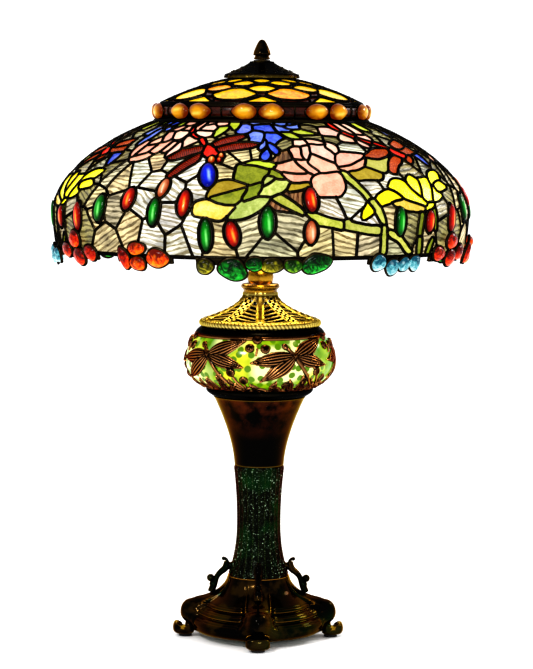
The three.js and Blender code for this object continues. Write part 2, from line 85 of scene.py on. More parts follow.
class Builder:
    """Collects surfaces in millimetres, then makes one mesh object of them."""

    def __init__(self):
        self.points, self.faces, self.looks, self.uvs = [], [], [], []
        self.count = 0

    def add_points(self, points, uv=None):
        self.points.append(points)
        self.uvs.append(np.zeros((len(points), 2)) if uv is None else uv.reshape(-1, 2))
        start = self.count
        self.count += len(points)
        return start

    def grid(self, points, uv=None, close_u=False, close_v=False, look=0):
        """A sheet of quads over a (u, v, 3) array of points."""
        nu, nv = points.shape[:2]
        start = self.add_points(points.reshape(-1, 3), uv)
        index = np.arange(nu * nv).reshape(nu, nv) + start
        if close_u:
            index = np.vstack([index, index[:1]])
        if close_v:
            index = np.hstack([index, index[:, :1]])
        quads = quads_of(index).reshape(-1, 4)
        self.faces.append(quads)
        self.looks.append(np.full(len(quads), look))
        return index

    def cap(self, ring, look=0, flip=False):
        """Closes a ring of vertex numbers with one face."""
        ring = list(ring)[::-1] if flip else list(ring)
        self.faces.append([ring])
        self.looks.append(np.array([look]))

    def lathe(self, profile, segments=96, centre=(0, 0), turn=None):
        """A profile of (radius, height) turned about the lamp's axis, or about another upright axis."""
        profile = np.array(profile, float)
        profile[:, 0] = np.maximum(profile[:, 0], PINHOLE)
        angle = np.linspace(0, 2 * np.pi, segments, endpoint=False)
        x = np.cos(angle)[:, None] * profile[:, 0] + centre[0]
        y = np.sin(angle)[:, None] * profile[:, 0] + centre[1]
        z = np.broadcast_to(profile[:, 1], x.shape)
        points = np.stack([x, y, z], -1)
        if turn is not None:
            points = points @ np.array(turn.to_3x3()).T + np.array(turn.translation)
        self.grid(points, close_u=True)

    def tube(self, path, normal, section, closed=False):
        """A section of (sideways, outwards) points swept along a path whose outward side is known."""
        path, normal = np.asarray(path, float), np.asarray(normal, float)
        if closed:
            tangent = np.roll(path, -1, 0) - np.roll(path, 1, 0)
        else:
            tangent = np.gradient(path, axis=0)
        tangent /= np.linalg.norm(tangent, axis=1)[:, None] + 1e-12
        side = np.cross(normal, tangent)
        side /= np.linalg.norm(side, axis=1)[:, None] + 1e-12
        section = np.asarray(section, float)
        if section.ndim == 2:
            section = np.broadcast_to(section, (len(path), *section.shape))
        points = path[:, None] + side[:, None] * section[..., :1] + normal[:, None] * section[..., 1:]
        index = self.grid(points, close_u=closed, close_v=True)
        if not closed:
            self.cap(index[0, :-1])
            self.cap(index[-1, :-1], flip=True)

    def hoop(self, radius, height, thick):
        """A round wire bent into a level circle about the lamp's axis."""
        turn = np.linspace(0, 2 * np.pi, 120, endpoint=False)
        path = np.stack([radius * np.cos(turn), radius * np.sin(turn), np.full(len(turn), height)], 1)
        self.tube(path, np.tile((0, 0, 1.0), (len(turn), 1)), circle(12) * thick, closed=True)

    def make(self, name, looks, body, slot, smooth, replaces=()):
        """One mesh object of all that was collected. Edges sharper than smooth degrees stay sharp."""
        mesh = bpy.data.meshes.new(name)
        faces = [face for block in self.faces for face in np.asarray(block).tolist()]
        points = np.concatenate(self.points) * MM
        mesh.from_pydata(points.tolist(), [], faces)
        for look in looks:
            mesh.materials.append(look.material)
        mesh.polygons.foreach_set("material_index", np.concatenate(self.looks).astype(np.int32))
        uv = np.concatenate(self.uvs)
        if np.any(uv):
            corner = np.empty(len(mesh.loops), np.int32)
            mesh.loops.foreach_get("vertex_index", corner)
            layer = mesh.uv_layers.new(name="UVMap")
            layer.data.foreach_set("uv", uv[corner].astype(np.float32).ravel())
        finish_mesh(mesh, smooth)
        place(name, mesh, body, replaces)


def softened(outline, rounds=2):
    """Rounds the shallow corners of a closed outline and keeps its sharp points."""
    line = np.array(outline, float)
    for _ in range(rounds):
        before, after = np.roll(line, 1, 0), np.roll(line, -1, 0)
        into, away = line - before, after - line
        scale = np.array([4.0, 1.0])
        cosine = np.sum(into * away * scale ** 2, 1) / (
            np.linalg.norm(into * scale, axis=1) * np.linalg.norm(away * scale, axis=1) + 1e-9)
        points = []
        for i, corner in enumerate(line):
            if cosine[i] < 0.45:
                points.append(corner)
            else:
                points += [corner * 0.75 + before[i] * 0.25, corner * 0.75 + after[i] * 0.25]
        line = np.array(points)
    return line


def finish_mesh(mesh, smooth):
    mesh.update()
    mesh.validate()
    mesh.shade_smooth()
    if smooth < 180:
        mesh.set_sharp_from_angle(angle=math.radians(smooth))


def place(name, mesh, body, replaces):
    piece = bpy.data.objects.new(name, mesh)
    bpy.context.scene.collection.objects.link(piece)
    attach(piece, body)
    if replaces:
        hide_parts(*replaces)


def turning(name, profile, segments, look, slot, smooth, replaces, **where):
    """A piece of the stand that is one turned profile."""
    builder = Builder()
    builder.lathe(profile, segments, **where)
    builder.make(name, [look], "stand", slot, smooth, [replaces])


def rounded(profile, rounds=2, closed=False):
    """Cuts the corners of a line again and again, which rounds them."""
    line = np.array(profile, float)
    for _ in range(rounds):
        after = np.roll(line, -1, 0)
        both = np.stack([line * 0.75 + after * 0.25, line * 0.25 + after * 0.75], 1)
        if closed:
            line = both.reshape(-1, line.shape[1])
        else:
            line = np.vstack([line[:1], both[:-1].reshape(-1, line.shape[1]), line[-1:]])
    return line


# ---- Shader building ---------------------------------------------------------------------------

class Look:
    """A Principled material and short ways to build its nodes."""

    def __init__(self, name, **values):
        self.material = bpy.data.materials.new(name)
        self.material.use_nodes = True
        self.tree = self.material.node_tree
        self.tree.nodes.clear()
        output = self.node("OutputMaterial")
        self.shader = self.node("BsdfPrincipled")
        self.link(self.shader.outputs[0], output.inputs[0])
        for socket, value in values.items():
            self.set(socket, value)

    def node(self, kind, **settings):
        node = self.tree.nodes.new("ShaderNode" + kind)
        for setting, value in settings.items():
            setattr(node, setting, value)
        return node

    def link(self, source, socket):
        self.tree.links.new(source, socket)

    def feed(self, socket, value):
        if isinstance(value, bpy.types.NodeSocket):
            self.link(value, socket)
        elif value is not None:
            socket.default_value = value

    def set(self, socket, value):
        names = {
            "base": "Base Color", "metal": "Metallic", "rough": "Roughness", "coat": "Coat Weight",
            "coat_rough": "Coat Roughness", "glow": "Emission Color", "power": "Emission Strength",
            "normal": "Normal", "specular": "Specular IOR Level",
        }
        self.feed(self.shader.inputs[names[socket]], value)

    def stretched(self, vector, scale):
        mapping = self.node("Mapping")
        self.link(vector, mapping.inputs[0])
        mapping.inputs["Scale"].default_value = scale
        return mapping.outputs[0]

    def coordinates(self, scale=(1, 1, 1)):
        return self.stretched(self.node("TexCoord").outputs["Object"], scale)

    def split(self, vector):
        node = self.node("SeparateXYZ")
        self.link(vector, node.inputs[0])
        return node.outputs

    def noise(self, vector, scale, detail=3.0, rough=0.55, warp=0.0):
        node = self.node("TexNoise")
        self.link(vector, node.inputs["Vector"])
        node.inputs["Scale"].default_value = scale
        node.inputs["Detail"].default_value = detail
        node.inputs["Roughness"].default_value = rough
        node.inputs["Distortion"].default_value = warp
        return node.outputs["Fac"]

    def cells(self, vector, scale, feature="F1"):
        node = self.node("TexVoronoi", feature=feature)
        self.link(vector, node.inputs["Vector"])
        node.inputs["Scale"].default_value = scale
        return node.outputs["Distance"]

    def wave(self, vector, scale, warp=3.0, detail=2.0, direction="X"):
        node = self.node("TexWave", bands_direction=direction)
        self.link(vector, node.inputs["Vector"])
        node.inputs["Scale"].default_value = scale
        node.inputs["Distortion"].default_value = warp
        node.inputs["Detail"].default_value = detail
        return node.outputs["Fac"]

    def attribute(self, name):
        return self.node("Attribute", attribute_name=name).outputs["Color"]

    def ramp(self, factor, *stops):
        """Stops are (place, colour or grey)."""
        node = self.node("ValToRGB")
        self.link(factor, node.inputs[0])
        ramp = node.color_ramp
        for i, (where, value) in enumerate(stops):
            entry = ramp.elements[i] if i < 2 else ramp.elements.new(where)
            entry.position = where
            entry.color = linear(value)
        return node.outputs[0]

    def mix(self, factor, first, second, blend="MIX"):
        node = self.node("Mix", data_type="RGBA", blend_type=blend)
        self.feed(node.inputs[0], factor)
        for socket, value in ((node.inputs[6], first), (node.inputs[7], second)):
            self.feed(socket, value if isinstance(value, bpy.types.NodeSocket) else linear(value))
        return node.outputs[2]

    def math(self, operation, first, second=None):
        node = self.node("Math", operation=operation)
        self.feed(node.inputs[0], first)
        self.feed(node.inputs[1], second)
        return node.outputs[0]

    def bump(self, height, strength=0.4, distance=0.001, after=None):
        node = self.node("Bump")
        node.inputs["Strength"].default_value = strength
        node.inputs["Distance"].default_value = distance
        self.link(height, node.inputs["Height"])
        if after is not None:
            self.link(after, node.inputs["Normal"])
        return node.outputs[0]

    def edges(self, low, high):
        """Near 1 on the raised edges of a casting, and 0 in its hollows."""
        return self.ramp(self.node("NewGeometry").outputs["Pointiness"], (low, 0.0), (high, 1.0))

    def rough_between(self, grain, low, high, rough_at_low, rough_at_high):
        """Roughness that runs from one value to another as a grain goes from low to high."""
        self.set("rough", self.ramp(grain, (low, rough_at_low), (high, rough_at_high)))

    def lit_from_behind(self, colour, power, reflects):
        """Glass that glows in its colour, and reflects a share of it."""
        self.set("base", self.mix(1.0, colour, reflects, "MULTIPLY"))
        self.set("glow", colour)
        self.set("power", power)
        self.material.cycles.emission_sampling = "NONE"


def bronze_look(name, dark, mid, edge, relief, green=0.0, low=0.505, high=0.56, rough=0.3, sheen=None, painted_glints=0.0,
                tone_and_sheen_range=(0.50, 0.60), reflection_above=None):
    """Dark patina, rubbed bright on raised edges as part wear and part painted highlight,
    with cloudy colour and a cast grain.

    The mid colour shows where the cloud passes the given range, partly as varied tone and partly as painted sheen,
    and if a pair of heights in metres is given, only higher up, as a painted reflection on the piece's top.
    The green is a painted reflection of the green glass, and the pale flecks are painted glints.
    """
    look = Look(name, metal=1.0, coat=0.04, coat_rough=0.1)
    look.shader.inputs["Specular Tint"].default_value = linear(sheen or edge)
    place_ = look.coordinates()
    cloud = look.noise(place_, 28, 4)
    # The mid colour's patches: partly varied tone, partly painted sheen.
    tone_and_sheen = look.ramp(cloud, (tone_and_sheen_range[0], 0.0), (tone_and_sheen_range[1], 1.0))
    # Kept to the top of the piece, these patches paint a reflection there.
    if reflection_above:
        height = look.split(place_)[2]
        tone_and_sheen = look.math("MULTIPLY", tone_and_sheen, look.ramp(height, (reflection_above[0], 0.0), (reflection_above[1], 1.0)))
    base = look.mix(tone_and_sheen, dark, mid)
    # Painted reflection: green patches stand for the green glass seen in the metal.
    if green:
        green_reflection = look.ramp(look.noise(place_, 16, 3), (0.50, 0.0), (0.66, green))
        base = look.mix(green_reflection, base, (10, 74, 28))
    # Raised edges turn bright: part wear, part painted highlight.
    base = look.mix(look.edges(low, high), base, edge)
    # Painted glints: small pale specks where light would sparkle on the grain.
    if painted_glints:
        bright = look.ramp(look.noise(place_, 520, 1), (0.67, 0.0), (0.73, painted_glints))
        bright = look.math("MULTIPLY", bright, look.ramp(look.noise(place_, 26, 2), (0.44, 0.1), (0.58, 1.0)))
        base = look.mix(bright, base, (190, 220, 186))
    look.set("base", base)
    look.rough_between(look.noise(place_, 60, 5), 0.3, 0.7, rough - 0.1, rough + 0.16)
    look.set("normal", look.bump(look.noise(place_, 420, 3), relief, 0.0004))
    return look


def metal_look(name, colour, stain, rough, scale, brushed=(1, 1, 1)):
    """A plated or satin metal with light staining, fine scratches and wear."""
    look = Look(name, metal=1.0)
    place_ = look.coordinates(brushed)
    stain_at = look.ramp(look.noise(place_, scale, 5), (0.38, 0.0), (0.68, 1.0))
    look.set("base", look.mix(stain_at, colour, stain))
    look.rough_between(look.noise(place_, scale * 3, 4), 0.3, 0.7, rough - 0.08, rough + 0.14)
    look.set("normal", look.bump(look.noise(place_, scale * 9, 2), 0.12, 0.0003))
    return look


# ---- Turned surfaces, and positions on them ----------------------------------------------------

class Surface:
    """A turned surface. A place on it is (degrees from the front towards +X, distance up the profile)."""

    def __init__(self, profile, inset=0.0):
        points = np.array(profile, float)
        step = np.diff(points, axis=0)
        self.along = np.r_[0, np.cumsum(np.hypot(step[:, 0], step[:, 1]))]
        slope = np.gradient(points, self.along, axis=0)
        slope /= np.linalg.norm(slope, axis=1)[:, None]
        self.out = np.stack([slope[:, 1], -slope[:, 0]], 1)
        self.points = points - inset * self.out
        self.length = self.along[-1]

    def _read(self, table, along):
        return [np.interp(along, self.along, table[:, i]) for i in (0, 1)]

    def at(self, degrees, along, lift=0.0):
        radius, height = self._read(self.points, along)
        out_r, out_z = self._read(self.out, along)
        angle = np.radians(degrees)
        radius, height = radius + lift * out_r, height + lift * out_z
        return np.stack(np.broadcast_arrays(radius * np.sin(angle), -radius * np.cos(angle), height), -1)

    def normal(self, degrees, along):
        out_r, out_z = self._read(self.out, along)
        angle = np.radians(degrees)
        return np.stack(np.broadcast_arrays(out_r * np.sin(angle), -out_r * np.cos(angle), out_z), -1)

    def per_degree(self, along):
        return np.interp(along, self.along, self.points[:, 0]) * math.pi / 180


def frame_at(surface, degrees, along, lean=0.0):
    """Sideways, upwards and outwards unit vectors on a surface, turned by lean degrees."""
    out = surface.normal(degrees, along)
    angle = math.radians(degrees)
    side = np.array([math.cos(angle), math.sin(angle), 0])
    up = np.cross(out, side)
    c, s = math.cos(math.radians(lean)), math.sin(math.radians(lean))
    return side * c + up * s, up * c - side * s, out


# ---- Leaded glass: a drawing of pieces, then glass and came made from it -----------------------

class Cartoon:
    """The drawing for one repeat of a leaded surface, held as a grid of piece numbers."""

    def __init__(self, surface, repeats, columns, rows):
        self.surface, self.repeats = surface, repeats
        self.period = 360 / repeats
        self.columns, self.rows = columns, rows
        self.step_x, self.step_y = self.period / columns, surface.length / rows
        self.label = np.full((columns, rows), -1)
        self.kinds = []
        self.x = -self.period / 2 + (np.arange(columns) + 0.5) * self.step_x
        self.y = (np.arange(rows) + 0.5) * self.step_y

    def new_piece(self, kind):
        self.kinds.append(kind)
        return len(self.kinds) - 1

    def paint(self, kind, outline, rounds=2):
        """Gives one piece every cell whose middle lies inside an outline."""
        outline = softened(outline, rounds)
        number = self.new_piece(kind)
        for shift in (-self.period, 0, self.period):
            x, y = outline[:, 0] + shift, outline[:, 1]
            columns = np.nonzero((self.x > x.min()) & (self.x < x.max()))[0]
            rows = np.nonzero((self.y > y.min()) & (self.y < y.max()))[0]
            if len(columns) == 0 or len(rows) == 0:
                continue
            gx, gy = np.meshgrid(self.x[columns], self.y[rows], indexing="ij")
            inside = np.zeros(gx.shape, bool)
            for i in range(len(x)):
                x0, y0, x1, y1 = x[i - 1], y[i - 1], x[i], y[i]
                if y0 == y1:
                    continue
                crosses = (y0 > gy) != (y1 > gy)
                inside ^= crosses & (gx < (x1 - x0) * (gy - y0) / (y1 - y0) + x0)
            block = self.label[np.ix_(columns, rows)]
            block[inside] = number
            self.label[np.ix_(columns, rows)] = block

    def grow(self, steps):
        """Pieces widen over bare ground by whole cells, so that neighbours meet under one came."""
        for _ in range(steps):
            before = self.label.copy()
            for axis, way in ((0, 1), (0, -1), (1, 1), (1, -1)):
                moved = np.roll(before, way, axis)
                if axis == 1:
                    moved[:, 0 if way == 1 else -1] = -1
                self.label = np.where((self.label < 0) & (moved >= 0), moved, self.label)

    def fill(self, seeds):
        """Bare ground goes to the nearest of some seeds, (degrees, along, kind)."""
        numbers = [self.new_piece(kind) for _, _, kind in seeds]
        gx, gy = np.meshgrid(self.x, self.y, indexing="ij")
        scale = self.surface.per_degree(gy)
        nearest = np.full(gx.shape, 1e9)
        owner = np.zeros(gx.shape, int)
        for number, (x, y, _) in zip(numbers, seeds):
            across = (gx - x + self.period / 2) % self.period - self.period / 2
            distance = np.hypot(across * scale, gy - y)
            owner = np.where(distance < nearest, number, owner)
            nearest = np.minimum(nearest, distance)
        self.label = np.where(self.label < 0, owner, self.label)

    def tidy(self, smallest):
        """Splits each piece into connected parts, and gives parts under an area to a neighbour."""
        part = np.full(self.label.shape, -1)
        kinds, areas = [], []
        cell = self.step_x * self.surface.per_degree(self.y) * self.step_y
        for start in zip(*np.nonzero(part < 0)):
            if part[start] >= 0:
                continue
            number, label, area = len(kinds), self.label[start], 0.0
            part[start] = number
            stack = [start]
            while stack:
                i, j = stack.pop()
                area += cell[j]
                for a, b in (((i + 1) % self.columns, j), ((i - 1) % self.columns, j), (i, j + 1), (i, j - 1)):
                    if 0 <= b < self.rows and part[a, b] < 0 and self.label[a, b] == label:
                        part[a, b] = number
                        stack.append((a, b))
            kinds.append(self.kinds[label])
            areas.append(area)
        for number in np.argsort(areas):
            if areas[number] > smallest:
                break
            mine = part == number
            touching = np.concatenate([np.roll(part, way, axis)[mine] for axis in (0, 1) for way in (1, -1)])
            touching = [t for t in touching if t != number and kinds[t] != "gem"]
            if touching:
                owner = max(set(touching), key=touching.count)
                part[mine] = owner
                areas[owner] += areas[number]
        self.label, self.kinds = part, kinds

    def chains(self):
        """The lines between pieces, as lists of (column, row) corners, with the pieces on each side."""
        label, columns = self.label, self.columns
        near, sides = {}, {}

        def join(a, b, pair):
            near.setdefault(a, []).append(b)
            near.setdefault(b, []).append(a)
            sides[frozenset((a, b))] = pair

        for i in range(columns):
            for j in np.nonzero(label[i - 1] != label[i])[0]:
                join((i, j), (i, j + 1), (label[i - 1, j], label[i, j]))
            for j in np.nonzero(label[i, 1:] != label[i, :-1])[0]:
                join((i, j + 1), ((i + 1) % columns, j + 1), (label[i, j], label[i, j + 1]))
        junctions = sorted(corner for corner, others in near.items() if len(others) != 2)
        ends = set(junctions)
        used, found = set(), []

        def walk(start, step):
            path = [start, step]
            used.add(frozenset(path))
            while path[-1] not in ends and path[-1] != start:
                ways = [n for n in near[path[-1]] if frozenset((path[-1], n)) not in used]
                if not ways:
                    break
                used.add(frozenset((path[-1], ways[0])))
                path.append(ways[0])
            found.append((path, sides[frozenset(path[:2])]))

        for start in junctions:
            for step in near[start]:
                if frozenset((start, step)) not in used:
                    walk(start, step)
        for start in sorted(near):
            for step in near[start]:
                if start not in ends and frozenset((start, step)) not in used:
                    walk(start, step)
        inner = [corner for corner in junctions if 0 < corner[1] < self.rows]
        return found, inner

    def lines(self, spacing, rounds):
        """The chains, smoothed and evenly spaced: (degrees, along) arrays, closed or not, and sides."""
        found, inner = self.chains()
        result = []
        for path, pair in found:
            raw = np.array(path, float)
            jump = (np.diff(raw[:, 0]) + self.columns / 2) % self.columns - self.columns / 2
            x = (np.r_[0, np.cumsum(jump)] + raw[0, 0]) * self.step_x - self.period / 2
            line = np.stack([x, raw[:, 1] * self.step_y], 1)
            closed = path[0] == path[-1] and len(path) > 4
            if closed:
                line = line[:-1]
            for _ in range(rounds):
                if closed:
                    line = line * 0.5 + (np.roll(line, 1, 0) + np.roll(line, -1, 0)) * 0.25
                elif len(line) > 2:
                    line[1:-1] = line[1:-1] * 0.5 + (line[:-2] + line[2:]) * 0.25
            if closed:
                line = np.vstack([line, line[:1]])
            scale = self.surface.per_degree(line[:, 1])
            step = np.hypot(np.diff(line[:, 0]) * scale[1:], np.diff(line[:, 1]))
            along = np.r_[0, np.cumsum(step)]
            count = max(2, int(round(along[-1] / spacing)) + 1)
            if closed:
                count = max(count, 9)
            at = np.linspace(0, along[-1], count)
            line = np.stack([np.interp(at, along, line[:, i]) for i in (0, 1)], 1)
            result.append((line[:-1] if closed else line, closed, pair))
        return result, inner


def came_section(width, proud, deep):
    """A round-backed came that wraps both faces of the glass."""
    half, shoulder = width / 2, width * 0.29
    return [
        (-half, -0.1), (-shoulder, proud * 0.85), (0, proud), (shoulder, proud * 0.85), (half, -0.1),
        (half, -deep), (shoulder, -deep - proud * 0.8), (-shoulder, -deep - proud * 0.8), (-half, -deep),
    ]


def edge_cames(builder, surface, edges, count, proud, deep):
    """A came right round a surface at each (distance up it, width)."""
    degrees = np.linspace(0, 360, count, endpoint=False)
    for along, width in edges:
        builder.tube(surface.at(degrees, along), surface.normal(degrees, along),
                     came_section(width, proud, deep), closed=True)


def lay_came(cartoon, builder, width, gem_width, proud, deep, spacing=4.0, rounds=10, blob=2.4):
    """Came along every line of the drawing and a drop of solder at every joint, for each repeat."""
    lines, inner = cartoon.lines(spacing, rounds)
    surface = cartoon.surface
    ring = np.linspace(0, 2 * np.pi, 10, endpoint=False)
    for line, closed, pair in lines:
        gem = "gem" in (cartoon.kinds[pair[0]], cartoon.kinds[pair[1]])
        wide = gem_width if gem else width * rng.uniform(0.86, 1.12)
        section = came_section(wide, proud * (1.15 if gem else 1), deep)
        for repeat in range(cartoon.repeats):
            degrees = line[:, 0] + repeat * cartoon.period
            path = surface.at(degrees, line[:, 1])
            builder.tube(path, surface.normal(degrees, line[:, 1]), section, closed)
    for i, j in inner:
        x, y = i * cartoon.step_x - cartoon.period / 2, j * cartoon.step_y
        size = blob * rng.uniform(0.85, 1.2)
        for repeat in range(cartoon.repeats):
            side, up, out = frame_at(surface, x + repeat * cartoon.period, y)
            centre = surface.at(x + repeat * cartoon.period, y)
            shells = []
            for share, lift in ((1.0, 0.1), (0.75, proud * 0.95), (0.05, proud * 1.25)):
                shells.append(
                    centre + out * lift
                    + size * share * (np.cos(ring)[:, None] * side + np.sin(ring)[:, None] * up)
                )
            builder.grid(np.array(shells), close_v=True)


def lay_glass(name, cartoon, tints, looks, body, replaces, every=2):
    """Glass between the cames: a fine sheet whose faces know their piece's colour and grain."""
    surface = cartoon.surface
    columns, rows = cartoon.columns // every, cartoon.rows // every
    total = columns * cartoon.repeats
    degrees = -cartoon.period / 2 + np.arange(total) * cartoon.step_x * every
    along = np.arange(rows + 1) * cartoon.step_y * every
    gx, gy = np.meshgrid(degrees, along, indexing="ij")
    points = surface.at(gx, gy, lift=-1.0)
    builder = Builder()
    builder.grid(points, close_u=True)
    mesh = bpy.data.meshes.new(name)
    faces = builder.faces[0]
    mesh.from_pydata((points.reshape(-1, 3) * MM).tolist(), [], faces.tolist())

    label = cartoon.label[::every, ::every][:columns, :rows]
    count = len(cartoon.kinds)
    look_of, first, second = np.zeros(count, int), np.zeros((count, 3)), np.zeros((count, 3))
    centre, angle = np.zeros((count, 2)), np.zeros(count)
    cx, cy = np.meshgrid(cartoon.x, cartoon.y, indexing="ij")
    for number, kind in enumerate(cartoon.kinds):
        colours, streaks, look, rule = tints[kind]
        mine = cartoon.label == number
        if not mine.any():
            continue
        look_of[number] = look
        base = cx[mine][0]
        x = base + (cx[mine] - base + cartoon.period / 2) % cartoon.period - cartoon.period / 2
        middle = np.array([x.mean(), cy[mine].mean()])
        scale = surface.per_degree(middle[1])
        spread = np.stack([(x - middle[0]) * scale, cy[mine] - middle[1]])
        moment = np.cov(spread) + np.eye(2) * 1e-6
        axis = np.linalg.eigh(moment)[1][:, -1]
        long_way = math.atan2(axis[1], axis[0])
        wander = rng.uniform(-1, 1)
        angle[number] = {
            "along": long_way + 0.15 * wander,
            "level": 0.55 * wander,
            "upright": math.pi / 2 + 0.35 * wander,
        }[rule]
        centre[number] = middle
        vary = 1 + 0.04 * rng.uniform(-1, 1, 3) + 0.14 * rng.uniform(-1, 1)
        first[number] = np.array(linear(colours)[:3]) * vary
        second[number] = np.array(linear(streaks)[:3]) * vary
    faces_label = np.concatenate([label] * cartoon.repeats).reshape(-1)
    repeat = np.repeat(np.arange(cartoon.repeats), columns * rows)
    mesh.polygons.foreach_set("material_index", look_of[faces_label].astype(np.int32))
    for look in looks:
        mesh.materials.append(look.material)

    corner = faces.reshape(-1)
    wrap = np.concatenate([(gx.reshape(-1))[faces[:, :1]]] * 4, 1)
    dx = gx.reshape(-1)[corner].reshape(-1, 4)
    dx = wrap + (dx - wrap + 180) % 360 - 180
    dy = gy.reshape(-1)[corner].reshape(-1, 4)
    middle = centre[faces_label]
    x = dx - repeat[:, None] * cartoon.period - middle[:, :1]
    x = (x + cartoon.period / 2) % cartoon.period - cartoon.period / 2
    x *= surface.per_degree(middle[:, 1])[:, None]
    y = dy - middle[:, 1:]
    turn = angle[faces_label][:, None]
    u = x * np.cos(turn) + y * np.sin(turn)
    v = -x * np.sin(turn) + y * np.cos(turn)
    offset = (faces_label * 7.31 + repeat * 3.7)[:, None]
    uv = np.stack([u * 0.1 + offset, v * 0.1 + offset * 0.37], -1)
    mesh.uv_layers.new(name="UVMap").data.foreach_set("uv", uv.astype(np.float32).ravel())
    for attribute, values in (("tint", first), ("streak", second)):
        colour = np.ones((len(faces), 4, 4), np.float32)
        colour[..., :3] = np.clip(values[faces_label], 0, 1)[:, None]
        layer = mesh.color_attributes.new(attribute, "FLOAT_COLOR", "CORNER")
        layer.data.foreach_set("color", colour.ravel())
    finish_mesh(mesh, 180)
    place(name, mesh, body, replaces)


# ---- The shade's drawing: one third of it, seen from the front ----------------------------------
# Each line is a kind of glass and an outline of (degrees, millimetres up from the rim).

